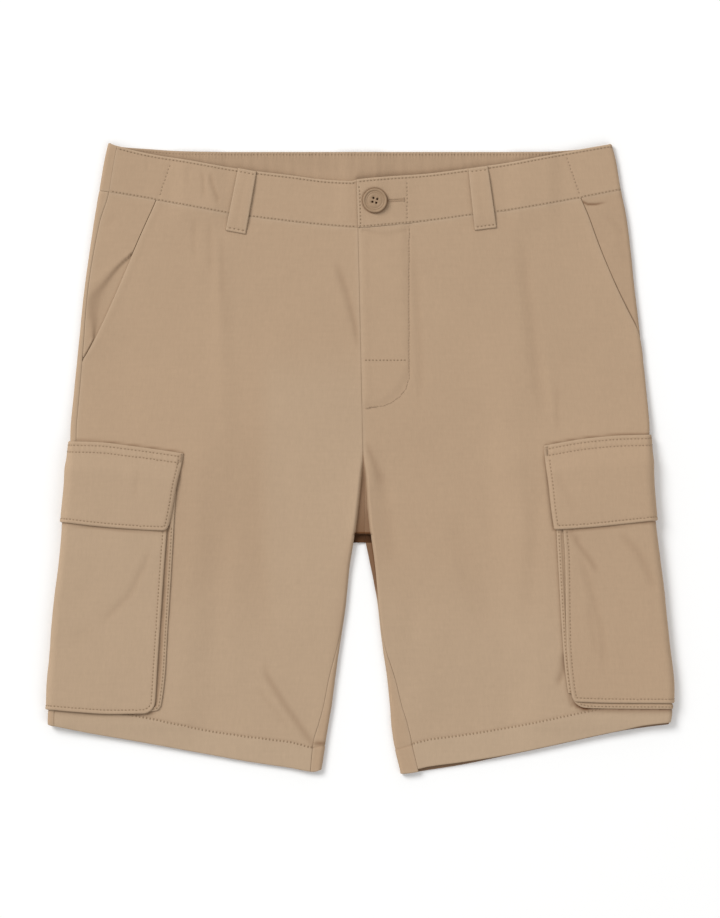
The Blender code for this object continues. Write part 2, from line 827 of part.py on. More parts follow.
def pocket_places(front, back):
    """Stations round the leg from the pocket's front edge to its back edge, close together on the fold."""
    places = [front - (front - ARC) * step / POCKET_STRAIGHT for step in range(POCKET_STRAIGHT)]
    places += FOLD_STEPS
    places += [-ARC - (back - ARC) * step / POCKET_STRAIGHT for step in range(1, POCKET_STRAIGHT + 1)]
    return places


def on_leg(side, place_at, height_at, share, out_at, depth):
    """A point of a piece that is wrapped round the side fold.

    place_at(y) is its distance along the cloth from the fold, height_at(place) its level edges' heights as
    (top, low), share how far it lies between them, and out_at(drop) how far its outside stands from the leg.
    """
    y = POCKET_MIDDLE
    for _ in range(5):
        place = place_at(y)
        top, low = height_at(abs(place))
        y = top + (low - top) * share
    return at_side(side, place, y, out_at(top - y) - depth)


def cargo_pocket(side):
    """The pocket's face, wrapped round the side fold from the front to the underside."""
    rows = 12
    columns = 2 * POCKET_STRAIGHT + len(FOLD_STEPS) - 1

    def heights(place):
        top = POCKET_EDGES.at(f"flap_top_{side}", place) - POCKET_TOP_BELOW
        return top, POCKET_EDGES.at(f"low_{side}", place)

    def point(column, row, depth):
        def place(y):
            front = side_place(side, SIDES[side] * POCKET.at(f"face_{side}", y), y)
            return pocket_places(front, POCKET_BACK_REACH)[column]

        return on_leg(side, place, heights, row / rows, lambda drop: POCKET_OUT, depth)

    return cloth(f"cargo_pocket_{side}", point, columns, rows, POCKET_CLOTH)


def cargo_gusset(side):
    """The pocket's folded side strip, down the front edge, along the bottom and up the back edge."""
    down = 10
    rows = 2
    turn = 2 * POCKET_STRAIGHT + len(FOLD_STEPS) - 1
    columns = 2 * down + turn

    def point(column, row, depth):
        inset = GUSSET_WIDTH * (1 - row / rows)
        before_turn = column < down
        after_turn = column > down + turn
        share = 1.0
        if before_turn:
            share = column / down
        if after_turn:
            share = (columns - column) / down

        def place(y):
            front = side_place(side, SIDES[side] * POCKET.at(f"gusset_{side}", y), y) - inset
            back = GUSSET_BACK_REACH - inset
            if before_turn:
                return front
            if after_turn:
                return -back
            return pocket_places(front, back)[column - down]

        def heights(at):
            top = POCKET_EDGES.at(f"flap_top_{side}", at) - POCKET_TOP_BELOW
            return top, POCKET_EDGES.at(f"low_{side}", at) - GUSSET_DROP[side] + inset

        return on_leg(side, place, heights, share, lambda drop: GUSSET_OUT, depth)

    return cloth(f"cargo_gusset_{side}", point, columns, rows, POCKET_CLOTH, TWILL_SHADE)


def cargo_flap(side):
    """The flap over the pocket, sewn to the leg along its top edge."""
    rows = 8
    columns = 2 * POCKET_STRAIGHT + len(FOLD_STEPS) - 1

    def heights(place):
        return POCKET_EDGES.at(f"flap_top_{side}", place), POCKET_EDGES.at(f"flap_low_{side}", place)

    def point(column, row, depth):
        def place(y):
            front = side_place(side, SIDES[side] * FLAP.at(side, y), y)
            return pocket_places(front, FLAP_BACK_REACH)[column]

        return on_leg(side, place, heights, row / rows, lambda drop: FLAP_STACK.at("out", drop), depth)

    return cloth(f"cargo_flap_{side}", point, columns, rows, FLAP_CLOTH)


def button():
    """A four-hole button with a rounded rim and a dished middle, turned and then drilled."""
    x, y = BUTTON_AT
    seat = band_over("left", x, y) + GAP
    mesh = bpy.data.meshes.new("button")
    work = bmesh.new()
    corners = [work.verts.new((radius * MM, 0.0, height * MM)) for radius, height in BUTTON_PROFILE]
    for first, second in zip(corners, corners[1:]):
        work.edges.new((first, second))
    work.to_mesh(mesh)
    work.free()
    piece = finished("button", mesh, BUTTON_COLOUR, 0.5)
    piece.location = (x * MM, y * MM, seat * MM)
    turned = piece.modifiers.new("turned", "SCREW")
    turned.steps = BUTTON_STEPS
    turned.render_steps = BUTTON_STEPS
    turned.use_merge_vertices = True
    turned.merge_threshold = 0.00005
    for index in range(4):
        angle = math.radians(BUTTON_TURN + 90 * index)
        work = bmesh.new()
        bmesh.ops.create_cone(
            work,
            cap_ends=True,
            segments=8,
            radius1=BUTTON_HOLE_RADIUS * MM,
            radius2=BUTTON_HOLE_RADIUS * MM,
            depth=8 * MM,
        )
        hole_mesh = bpy.data.meshes.new(f"button_hole_{index}")
        work.to_mesh(hole_mesh)
        work.free()
        hole = bpy.data.objects.new(f"button_hole_{index}", hole_mesh)
        hole.location = (
            (x + BUTTON_HOLE_OFFSET * math.cos(angle)) * MM,
            (y + BUTTON_HOLE_OFFSET * math.sin(angle)) * MM,
            seat * MM,
        )
        hole.hide_render = True
        hole.display_type = "WIRE"
        bpy.data.collections["cutters"].objects.link(hole)
        drilled = piece.modifiers.new(f"drilled_{index}", "BOOLEAN")
        drilled.operation = "DIFFERENCE"
        drilled.object = hole
    return piece


def main():
    for leftover in list(bpy.data.objects):
        bpy.data.objects.remove(leftover)
    for name in ("cargo_shorts", "cutters"):
        bpy.context.scene.collection.children.link(bpy.data.collections.new(name))
    for side in SIDES:
        back_leg(side)
        front_leg(side)
        hip_facing(side)
        waistband_front(side)
        belt_loop(side)
        cargo_pocket(side)
        cargo_gusset(side)
        cargo_flap(side)
    waistband_back()
    for name, x in BACK_LOOPS.items():
        back_belt_loop(name, x)
    button()


main()
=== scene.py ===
"""Cargo shorts in cotton twill, lying face up on a pale floor.

+X is the wearer's left, +Y runs up towards the waistband and +Z up from the floor. The origin is on the
floor, under the middle of the outline. Tables and sizes are in millimetres, settings and meshes in metres.

Each panel is a flat grid of cloth that is laid on the garment's section: the section comes from the tables,
and edges, seams, creases and puckers are added to it as a height above the cloth's outside.
"""

import math

import bmesh
import bpy
import numpy as np
from bpy.props import FloatProperty, FloatVectorProperty, IntProperty, PointerProperty
from mathutils import Matrix, Vector
from mathutils.bvhtree import BVHTree


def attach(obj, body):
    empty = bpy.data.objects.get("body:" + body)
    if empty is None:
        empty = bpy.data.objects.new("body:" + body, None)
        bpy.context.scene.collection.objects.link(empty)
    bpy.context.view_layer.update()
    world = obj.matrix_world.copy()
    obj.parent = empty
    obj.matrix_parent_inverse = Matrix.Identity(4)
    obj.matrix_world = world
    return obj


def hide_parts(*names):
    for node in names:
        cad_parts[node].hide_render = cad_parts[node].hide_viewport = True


bl_info = {
    "name": "Cargo shorts",
    "version": (1, 0, 0),
    "blender": (4, 5, 0),
    "location": "3D View > Sidebar > Shorts",
    "description": "Makes a pair of cargo shorts, laid flat, with its stitching, button and stage",
    "category": "Object",
}

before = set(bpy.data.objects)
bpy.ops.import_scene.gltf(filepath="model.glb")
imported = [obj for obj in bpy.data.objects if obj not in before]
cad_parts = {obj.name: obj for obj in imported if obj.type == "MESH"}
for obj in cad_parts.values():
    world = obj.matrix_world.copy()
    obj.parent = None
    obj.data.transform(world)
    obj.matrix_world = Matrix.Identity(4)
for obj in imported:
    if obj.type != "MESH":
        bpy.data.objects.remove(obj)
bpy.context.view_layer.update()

MM = 0.001

# Cloth and gaps
CLOTH = 1.2
POCKET_CLOTH = 1.1
WAISTBAND_CLOTH = 1.8
LAP_CLOTH = 1.5
LOOP_CLOTH = 1.3
FLAP_CLOTH = 1.4
GAP = 0.3
SEAM = 0.01
BAND_THINNEST = 0.35

# How thick the garment lies, from the back panel's outside to the front panel's outside
LOFT = 4.6
SIDE_ROLL = 1.4
SIDE_ROLL_REACH = 30
INNER_ROLL = 1.2
INNER_ROLL_REACH = 22
FOLD_RADIUS = 3
ARC = math.pi / 2 * FOLD_RADIUS

# The outside of each layer of the cargo pocket, above the leg's cloth
GUSSET_OUT = GAP + POCKET_CLOTH
POCKET_OUT = GUSSET_OUT + GAP + POCKET_CLOTH
FLAP_OUT = POCKET_OUT + GAP + FLAP_CLOTH
FLAP_TOP_OUT = GAP + FLAP_CLOTH
BACK_REACH = {"pocket": 95, "flap": 99, "gusset": 101}
GUSSET_DROP = {"right": -1.5, "left": 5}
UNDER_FLAT = 108
UNDER_FADE = 34

# Waistband and fly
WAISTBAND_MIDDLE = 250
TAB_FROM = -1.6
TAB_END = 25
LAP_RISE = 1.6
LAP_FADE = 26
TAB_DROP = 0.4
TAB_DROP_FROM = -30
TAB_DROP_FADE = 24
TAB_TUCK = 2.2
TAB_CLOTH = WAISTBAND_CLOTH - TAB_DROP
FLY_WIDTH = 43
FLY_END = 43
FLY_CURVE_TOP = 85
FLY_RISE = 0.8
FLY_EDGE = 7

# Crotch
CROTCH_TOP = 14
CROTCH_ROLL_TOP = 34
CROTCH_ROLL_FADE = 50
FRONT_CROTCH = -64.5
BACK_CROTCH = -71.5
VALLEY = 2.9
VALLEY_FADE = 36
FORK_ROLL = 1.3
FORK_ROLL_REACH = 6
FORK_END = -60
FORK_LOW = -66

# Back waistband gathers
GATHER_PITCH = 12
GATHER_FROM = -166
GATHER_TO = 180
GATHER_FADE = 20
PULL_PITCH = 2.75
BACK_ROW = 2.4

# Button: its middle and its radius, and how far out and at what angle its four holes lie
BUTTON_AT = (12.2, 219.3)
BUTTON_RADIUS = 10.3
BUTTON_HOLE_OFFSET = 2.35
BUTTON_TURN = 30

# Hip facing
FACING_BOTTOM = 76
FACING_SHUT = 2.5
FACING_RAMP_SHARE = 0.6
# How much darker each facing is made, added to its painted shade
FACING_DARKENING = {"right": 0, "left": 0.12}

SIDES = {"right": -1, "left": 1}


class Table:
    """Rows of named columns, read between the rows on a smooth curve that never overshoots them."""

    def __init__(self, names, rows):
        rows = sorted(rows)
        self.keys = np.array([row[0] for row in rows], float)
        self.columns = {}
        for place, name in enumerate(names.split()[1:], start=1):
            values = np.array([row[place] for row in rows], float)
            self.columns[name] = (values, self.slopes(values))

    def slopes(self, values):
        steps = np.diff(values) / np.diff(self.keys)
        inner = np.where(steps[1:] * steps[:-1] > 0, 2 * steps[1:] * steps[:-1], 0)
        total = np.where(np.abs(steps[1:] + steps[:-1]) > 1e-9, steps[1:] + steps[:-1], 1)
        return np.concatenate([steps[:1], inner / total, steps[-1:]])

    def at(self, name, key):
        values, slopes = self.columns[name]
        key = np.clip(key, self.keys[0], self.keys[-1])
        row = np.clip(np.searchsorted(self.keys, key, side="right") - 1, 0, len(self.keys) - 2)
        span = self.keys[row + 1] - self.keys[row]
        t = (key - self.keys[row]) / span
        ease = t * t * (3 - 2 * t)
        return (
            values[row] * (1 - ease)
            + values[row + 1] * ease
            + slopes[row] * span * t * (1 - t) ** 2
            - slopes[row + 1] * span * t * t * (1 - t)
        )


# The outline at the sides, over the cargo pockets: distance from the centre line at each height
OUTLINE = Table("y right left", [
    (268.3, 214.6, 213.3), (253.8, 217.8, 217.2), (227.5, 222.3, 221.6), (202.8, 226.5, 226.6),
    (168.8, 231.6, 230.6), (134.8, 235.9, 234.2), (100.8, 239.3, 238.2), (66, 242.7, 242.3),
    (32, 246.1, 245.5), (12, 248.3, 246.9), (-20, 252, 249.8), (-52, 255.2, 252.4),
    (-69, 256.3, 254.3), (-95, 258.2, 257.1), (-129, 261.6, 260), (-163, 264.3, 263.7),
    (-197, 267.1, 266.8), (-214, 267.4, 266.6), (-226, 266.2, 263.4),
])

# The fold inside each leg, as X
INNER = Table("y right left", [
    (40, 1.3, 1.3), (5, 2, 2.4), (-15, 0.8, 4.5), (-38, -1.5, 5.9), (-61, -4.2, 8.1),
    (-74, -6.3, 9.8), (-90, -8.9, 11.9), (-120, -11.9, 14.4), (-163, -18.3, 19.1),
    (-188, -21.7, 22.9), (-211, -24.6, 25.1), (-228, -27.6, 26.4), (-240, -29.7, 28.1),
    (-266, -33.6, 34),
])

# The line where the two halves meet, on the front and on the back, as X
CENTRE = Table("y front back", [
    (262, -4, 1.5), (194.3, -2.1, 1.5), (43, 1.3, 1.5), (5, 2.1, 2.6), (-27, 3.6, 3.6),
    (-75, 3.8, 3.8),
])

# Side seam, measured along the cloth from the side fold: + on the front, - underneath
SIDE_SEAM = Table("y right left", [
    (268, 9.7, -2), (226, 10.2, -2), (200, 6.7, -2), (143, 4.9, -2), (84, 6.2, -2),
    (0, 7, -2), (-227, 7.3, -2),
])

# Slant pocket mouth, measured along the cloth from the side fold
MOUTH = Table("y right left", [
    (230, 54, 39), (219, 51.5, 36.6), (186, 42, 29.2), (148, 31.2, 17.6),
    (126, 24, 9.5), (105, 16.2, 1.6), (90, 9.7, -1.6), (83, 6.3, -2),
])

# Inseam, measured along the cloth from the inner fold: + on the front
INSEAM = Table("y right left", [
    (-60, 0.3, 0.5), (-110, 0.6, 1.6), (-147, 2.3, 2.6), (-188, 7.2, 8.6), (-211, 8.8, 12.1),
    (-226, 10.3, 15.6), (-240, 12, 17), (-268, 10.8, 17),
])

# How far the back panel shows beside the fold inside the left leg
LIP = Table("y out", [(-126, 0), (-120, 0.3), (-107, 1.7), (-90, 3.6), (-71.5, 5)])

# Waistband: its seam and its top edge, in front and behind
WAIST = Table("x seam top back_seam back_top", [
    (-224, 228.1, 270, 228.1, 270), (-214, 226.5, 268.2, 226.7, 268.2),
    (-205, 225, 265.4, 225.6, 265.4), (-181, 221, 259.6, 223.6, 263.4),
    (-148, 214.8, 254.2, 222, 261.4), (-105, 207.2, 246.8, 221, 260.9),
    (-60, 201.4, 241.2, 221, 260.9), (-26, 197.8, 237.1, 221, 260.9),
    (-6.4, 196.5, 236.3, 221, 260.9), (-4.2, 196.5, 237.2, 221, 260.9),
    (18, 198, 239.5, 221, 260.9), (58, 201.9, 242.6, 221, 260.9),
    (95, 206.9, 247.4, 221, 260.9), (127, 210.9, 252, 221.4, 260.9),
    (153, 215.2, 256.8, 222.2, 261), (187, 221.5, 263, 223.8, 263.1),
    (213, 226.6, 267.5, 226.6, 267.5), (222, 228.3, 269, 228.3, 269),
])

# Hem edge, in front and behind
HEM = Table("x front back", [
    (-267, -226, -226.2), (-232, -233.2, -233.4), (-193, -240, -240.2),
    (-132, -251.1, -251.3), (-94, -257.9, -258.1), (-60, -263, -263.2), (-40, -266.2, -266.4),
    (-33, -264.7, -264.9), (0, -266, -266.5), (34, -266.8, -268.1), (59, -261.8, -264.7),
    (85, -258.4, -260.6), (123, -252.3, -252.9), (153, -246.2, -246.6), (193, -237.3, -237.7),
    (223, -230.9, -231.4), (242, -226.8, -228.4), (264, -224.3, -225.7),
])

# How far the pocket's layers push the leg in at its side fold, and up from the surface it lies on
POCKET_STACK = Table("y in up", [
    (84, 0, 0), (32, 0, 2), (15, 1.2, 3.2), (0, 2.8, 4.3), (-12, 3.9, FLAP_OUT),
    (-25, FLAP_OUT, FLAP_OUT), (-62, FLAP_OUT, FLAP_OUT), (-130, POCKET_OUT, POCKET_OUT),
    (-206, POCKET_OUT, POCKET_OUT), (-219, 1.2, POCKET_OUT), (-224, 0.5, POCKET_OUT - 0.1),
    (-234, 0, 1.4), (-246, 0, 0.5),
])

# How far out the flap's outside stands, by distance below its top edge
FLAP_STACK = Table("below out", [
    (0, FLAP_TOP_OUT), (13, 2.9), (26, FLAP_OUT), (90, FLAP_OUT),
])
POCKET_TOP_BELOW = 33
POCKET_MIDDLE = -100

# The cargo pocket's front edges, as distance from the centre line
POCKET = Table("y pocket_right pocket_left gusset_right gusset_left", [
    (12, 160.2, 167, 153.6, 161.4), (-48, 163.4, 171, 158, 165.6),
    (-86, 166.3, 173.6, 160.1, 167.6), (-154, 171, 174.8, 164.3, 171.6),
    (-182, 172.8, 176.8, 165.9, 174), (-205, 174.2, 180.2, 168.6, 177.6),
    (-218, 176, 184, 171, 182),
])
FLAP = Table("y flap_right flap_left", [
    (20, 149.6, 155.6), (4, 150.4, 156.2), (-23, 156, 159.6), (-44, 159.7, 161.9),
    (-62, 163.5, 164.6),
])

# Heights of the pocket's level edges, by distance from the side fold along the cloth
POCKET_EDGES = Table("p flap_top_right flap_top_left flap_low_right flap_low_left low_right low_left", [
    (0, 14.9, 20.5, -54, -52.6, -213, -207.7), (25, 14.2, 19.9, -57.1, -55.4, -215.2, -207.7),
    (55, 10.8, 17.3, -59.7, -58.4, -217, -207.5), (85, 6.6, 12.3, -61.2, -60.3, -216.6, -206.4),
    (105, 3.4, 8.6, -61.4, -60.7, -214, -205),
])

# Soft ridges (+) and troughs (-) in the front: the crease's two ends, its half width and its height
FOLD_TAPER = 0.25
CREASE_TAPER = 0.4
CREASE_OVERRUN = 0.16
CREASES = [
    ((-81, -178), (-49, -240), 9, 0.7),  # leg diagonal
    ((-97, -182), (-66, -240), 10, -0.5),  # leg hollow
    ((6, 16), (15, -30), 6, 0.6),  # inner thigh
    ((16, 16), (24, -34), 7, -0.4),  # inner thigh hollow
    ((-118, 188), (-121, 90), 8, 0.5),  # under the loop
    ((-146, 196), (-150, 110), 11, -0.4),  # right hip
    ((128, 190), (140, 90), 12, 0.5),  # left hip
    ((150, -115), (136, -200), 10, -0.5),  # left thigh
    ((-135, -70), (-140, -190), 12, 0.4),  # right thigh
    ((62, -130), (52, -235), 13, 0.5),  # left leg
]

# Front belt loops: the middle of the upper and of the lower end, and the width at each
LOOPS = {
    "right": ((-96.2, 245.6), (-106.2, 192.4), 16, 17.4),
    "left": ((99.9, 247.6), (106.4, 195.2), 16.8, 18.8),
}
BACK_LOOPS = {"right": -138, "centre": 1.5, "left": 147}
BACK_LOOP_WIDTH = 17
BACK_LOOP_INSET = 1
BACK_LOOP_OUT = GAP + LOOP_CLOTH
BACK_LOOP_FADE = 16
LOOP_BUMP_LOW = 190
LOOP_BUMP_RISE = 28
LOOP_ROW = 2.6
LOOP_ARCH = 0.7

# Rounded lower corners of the cargo pocket, as radii
CORNERS = {
    "flap": {"right": 4.5, "left": 1.4},
    "pocket": {"right": 8.5, "left": 3},
    "gusset": {"right": 4, "left": 12},
}

# Folds: a line of points, the half width at its two ends, its height and the shade painted in its hollow
FOLDS = [
    ([(-119.4, 187.5), (-119.4, 130.6), (-117.7, 88.1), (-113.5, 15.8), (-111.1, -52.2)],
     (3.8, 15), 0.85, 0),
    ([(-113.5, 15.8), (-112, -52.2), (-110, -120), (-104, -185)], (15, 17), 1.3, 0),
    ([(-117.2, 192), (-116.9, 130)], (2.6, 3), -0.4, 0.1),
    ([(-83.7, 49.8), (-78.6, 7.3), (-75.2, -47.9), (-71, -111.7), (-65, -158.4)], (20, 17), -1.3, 0),
    ([(-82.9, -166.9), (-79.5, -184.8), (-64.2, -209.4), (-43.8, -238.3), (-30, -258)],
     (3, 3), -0.8, 0.4),
    ([(-89.7, -192.4), (-75.2, -212), (-59.9, -231.5)], (2.4, 2.4), -0.3, 0.1),
    ([(-22.5, 173.1), (-11, 139.1), (-4.7, 113.6), (-0.4, 88.1)], (3.2, 2.4), -0.6, 0.32),
    ([(-28.5, 170.5), (-16.6, 137.4), (-9.8, 109.3)], (4, 3.2), 0.3, 0),
    ([(-140.7, 207.9), (-141.5, 164.6)], (2.4, 2.4), -0.35, 0.1),
    ([(-127.9, 207.9), (-127.1, 153.5)], (2.4, 2.4), -0.35, 0.1),
    ([(136.4, 201.1), (139.8, 164.6), (145.8, 117.8), (150, 75.3), (158.5, 22.6)], (6, 6), -0.9, 0.1),
    ([(156.8, 109.3), (166.2, 24.3)], (6, 5), 0.4, 0),
    ([(167, 66.8), (167.9, 19.2)], (2, 2), -0.3, 0.12),
    ([(44.6, 190.9), (50.6, 100.8), (51.4, 56.6), (47.2, 34.5)], (3.4, 3.4), -0.45, 0.12),
    ([(4.7, 17), (8.1, 5.6), (11.5, -2.9), (14.9, -11.4), (19.1, -25)], (1.6, 4), -0.35, 0.34),
    ([(11.5, -2.9), (19.1, -25), (22.5, -45.4), (25.9, -79.4), (28, -100)], (4.5, 8.5), -0.8, 0.12),
    ([(80.3, -39.4), (89.7, -77.7), (102.4, -115.9), (110.1, -154.2)], (10, 10), -1.3, 0.04),
    ([(150.9, -2.9), (149.2, -69.2), (142.4, -124.4), (139.8, -155.9)], (8, 8), -0.8, 0.03),
    ([(173, -162.7), (172.1, -179.7), (167, -195)], (2.6, 2.6), -0.9, 0.5),
    ([(122.8, 117.8), (122.8, 32.8), (115.2, -35.2)], (22, 20), 1.2, 0),
    ([(46.3, -103.2), (42.1, -162.7)], (8, 8), -0.4, 0),
    ([(-191.7, -220.5), (-190, -240.9)], (2.6, 2.6), -0.3, 0.08),
    ([(180, -203.5), (184, -207.5), (189, -211.3), (197, -214)], (2.2, 1.6), -0.4, 1.2),
]
POCKET_FOLDS = [
    ([(-177.2, -70.9), (-183.2, -90.4), (-195.9, -115.9), (-217.2, -137.2), (-224, -144)],
     (3.2, 3.4), -0.5, 0.16),
    ([(-224, -144), (-246.9, -156.7)], (6, 6), -0.3, 0.05),
    ([(178.9, -64.9), (195.1, -86.2), (203.6, -99.8)], (2.4, 2.6), -0.55, 0.34),
    ([(176, -60.5), (187, -71)], (3.2, 3.2), -0.35, 0.24),
    ([(182.3, -73.4), (195.1, -107.4), (205.3, -145.7), (207.8, -188.2)], (3.6, 4.2), -0.55, 0.15),
    ([(193.4, -120.2), (201, -171.2)], (3, 3), -0.35, 0.1),
    ([(217.2, -59.8), (237.6, -81.9), (252, -115.1)], (3.6, 3.6), -0.6, 0.22),
]
FACING_FOLDS = [
    ([(207.8, 208), (226, 189)], (2.4, 2.4), -0.3, 0.08),
    ([(214, 200), (229, 178)], (2.6, 2.6), -0.25, 0.05),
    ([(217, 186), (228, 166)], (3, 3), -0.25, 0.06),
    ([(-216, 196), (-206, 208)], (3, 3), -0.2, 0.04),
]
FLAP_FOLDS = [
    ([(-187.4, -6.3), (-191.7, -36.9)], (3, 3), -0.25, 0.06),
    ([(167, -9.7), (174.7, -28.4), (186.6, -48.8)], (4, 4), -0.35, 0.07),
]
BAND_FOLDS = [
    ([(-127.9, 244.5), (-125.9, 233.4), (-121.5, 221.5), (-120.7, 213.9)], (1.9, 1.9), -0.55, 0.28),
    ([(-135.2, 246.2), (-133.5, 236.8), (-132.7, 220.7)], (1.7, 1.7), -0.4, 0.16),
    ([(-131.3, 246.2), (-129.6, 233.4), (-127.1, 219.8)], (1.6, 1.6), 0.22, 0),
    ([(-181.5, 258.9), (-180.6, 243.6)], (1.5, 1.5), -0.25, 0.06),
    ([(132.2, 245.3), (132.2, 213.9)], (4.5, 4.5), -0.3, 0.03),
    ([(-147.5, 248.7), (-145.8, 228.3)], (2, 2), -0.2, 0.05),
]
FACING_CREASE = [(189.5, 218), (193.4, 216.2), (200, 216.2), (211, 218.2)]

# How far the hip facing falls short of the slant pocket's mouth, where the mouth gapes
GAPE = Table("y right left", [
    (176, 0, 0), (171.7, 1.6, 0), (166, 4.6, 0), (158, 7.8, 0), (150, 9.6, 0),
    (141, 10.6, 0), (125.5, 7.6, 0), (114, 3.6, 0), (101, 0, 0),
])

# Rows of stitches on the front, as points on the cloth
FLY_ROW = [
    (41.6, 197.4), (41.5, 140), (41.6, 83.8), (41.7, 74), (40.7, 66.8), (38.4, 59.5), (33.8, 53.3),
    (28.1, 48.6), (20.8, 45.2), (2.6, 42.7),
]
FLY_TACK = [(3.4, 42.7), (14.6, 43.9)]
FLY_CROSS = [(2, 83.8), (40, 83.8)]
LAP_ROW = [(-1.4, 233.4), (0.3, 197.6)]
FLY_BAND_ROW = [(39.5, 236.8), (39.7, 202.6)]
ELASTIC_ROWS = {
    "right": [(-161.9, 251.5), (-171.4, 222.6)],
    "left": [(174.7, 257.6), (186.3, 224)],
}
BUTTONHOLE = [(23.4, 219.1), (37, 220.1)]
BUTTONHOLE_WIDTH = 3.6
BUTTON_PUCKER = [(2.6, 193.7), (20.8, 190.3), (38.7, 193.7)]
HEM_ABOVE = Table("x row", [
    (-267, 21), (-191, 22.4), (-132, 20.8), (-60, 22.6), (-30, 20.6), (29, 21),
    (43, 23.6), (193, 23.2), (264, 22.4),
])
BAND_TOP_ROW = 2.6
BAND_SEAM_ROW = 0.9
BAND_ROW_END = {"right": -4.6, "left": -1.6}
BACK_ROW_ENDS = (-186, 192)
FLAP_ROWS = (3, 8.8)
FLAP_PUCKER = 4.4
EDGE_ROW = 3.4
GUSSET_ROW = 1.7
POCKET_LINE_TOP = -58
HEM_BUNCH = (-34.6, -242)
# Painted shade beside each pocket and in each gusset, and how much paler each pocket's face and flap are made
POCKET_SHADE = {"right": 0.2, "left": 0.5}
FACE_PALER = {"right": 0.6, "left": 0}
FLAP_PALER = {"right": 0.45, "left": 0}
GUSSET_SHADE = {"right": 0.6, "left": 0.12}

# Distances from an edge at which the cloth's grid is close together
EDGE = [0, 0.14, 0.34, 0.6, 0.95, 1.4, 1.9, 2.5, 3.2, 4, 5, 6.2]
ROW_ZONE = [19, 20, 20.8, 21.6, 22.3, 23, 23.8, 24.8, 26.2, 28.2]
FLY_ZONE = [39, 40.1, 41, 41.8, 42.5, 43.2, 43.9, 44.7, 45.8, 47.4, 49.6, 52]
LOOP_ZONE = [0, 0.14, 0.34, 0.6, 0.95, 1.4, 2, 2.8]
FORK_ZONE = EDGE[:7] + list(np.linspace(2.2, 5.2, 16)) + [5.8, 6.6, 7.6, 9, 11, 13.4]
SIDE_ZONE = EDGE + [7.6, 9.4, 11.4, 13.6]
BACK_SIDE_ZONE = EDGE + [7.6, 9.2, 10.8, 12.4]
BACK_ZONE = EDGE + list(np.linspace(7.4, 30, 17))
FLAP_TOP_ZONE = EDGE + [7.6, 8.3, 9, 9.8, 11.2]
BUTTON_ZONE = EDGE + list(np.linspace(6.9, 46, 60))

# The levels of a leg's grid that lie on its waist seam and on its hem
LEG_TOP = 210
LEG_LOW = -246

# How far from an edge the paler edge shows, partly wear and partly painted highlight, and half the length of
# a pocket piece that lies on the side fold
WEAR_REACH = 1.4
TURN = 7

# How far over the cloth a line starts before its stitches are laid on it
ROW_LIFT = 1.4
LINE_LIFT = 1.5


def settings():
    return bpy.context.scene.cargo_shorts


def smooth(t):
    """0 up to t = 0, 1 from t = 1, and a soft step between."""
    t = np.clip(t, 0, 1)
    return t * t * (3 - 2 * t)


def bell(t):
    """1 at t = 0, and a soft fall to nothing on both sides of it."""
    return np.exp(-(t**2))


def side_fold(side, y):
    """The leg's own side fold: the outline less the pocket's layers."""
    return OUTLINE.at(side, y) - POCKET_STACK.at("in", y)


def loop_bump(x):
    """1 over a back belt loop, fading to 0 at each side of it."""
    away = np.minimum.reduce([np.abs(x - at) for at in BACK_LOOPS.values()])
    return 1 - smooth((away - BACK_LOOP_WIDTH / 2 - 2) / BACK_LOOP_FADE)


def under(side, x, y):
    """Height of the back panel's outside: 0, but raised by the pocket and the loops that lie beneath it."""
    inset = side_fold(side, y) - SIDES[side] * x
    pocket = POCKET_STACK.at("up", y) * (1 - smooth((inset - UNDER_FLAT) / UNDER_FADE))
    return pocket + BACK_LOOP_OUT * loop_bump(x) * smooth((y - LOOP_BUMP_LOW) / LOOP_BUMP_RISE)


def crease_height(x, y):
    """The height of the creases between two ends."""
    height = np.zeros(np.broadcast(x, y).shape)
    for (x0, y0), (x1, y1), width, rise in CREASES:
        length = math.hypot(x1 - x0, y1 - y0)
        along = ((x - x0) * (x1 - x0) + (y - y0) * (y1 - y0)) / length**2
        across = ((x - x0) * (y1 - y0) - (y - y0) * (x1 - x0)) / length
        ends = smooth((along + CREASE_OVERRUN) / CREASE_TAPER)
        ends = ends * smooth((1 - along + CREASE_OVERRUN) / CREASE_TAPER)
        height += rise * ends * bell(across / width)
    return height


def folds(lines, x, y):
    """The height of folds that follow lines of points, and the shade painted in their hollows."""
    height = np.zeros(np.broadcast(x, y).shape)
    painted_shade = np.zeros_like(height)
    for line, (first, last), rise, painted_darkness in lines:
        away, along = from_line(line, x, y)
        share = along / sum(math.dist(a, b) for a, b in zip(line, line[1:]))
        ends = smooth(share / FOLD_TAPER) * smooth((1 - share) / FOLD_TAPER)
        near = ends * bell(away / (first + (last - first) * share))
        height += rise * near
        painted_shade += painted_darkness * near
    return height, painted_shade


def fly_rise(x, y):
    """The left front's second layer of cloth inside the fly's J stitch."""
    drop = (FLY_CURVE_TOP - np.minimum(y, FLY_CURVE_TOP)) / (FLY_CURVE_TOP - FLY_END)
    edge = CENTRE.at("front", y) + FLY_WIDTH * np.sqrt(np.maximum(0, 1 - drop**2))
    return FLY_RISE * smooth((edge - x) / FLY_EDGE) * smooth((y - FLY_END) / FLY_EDGE)


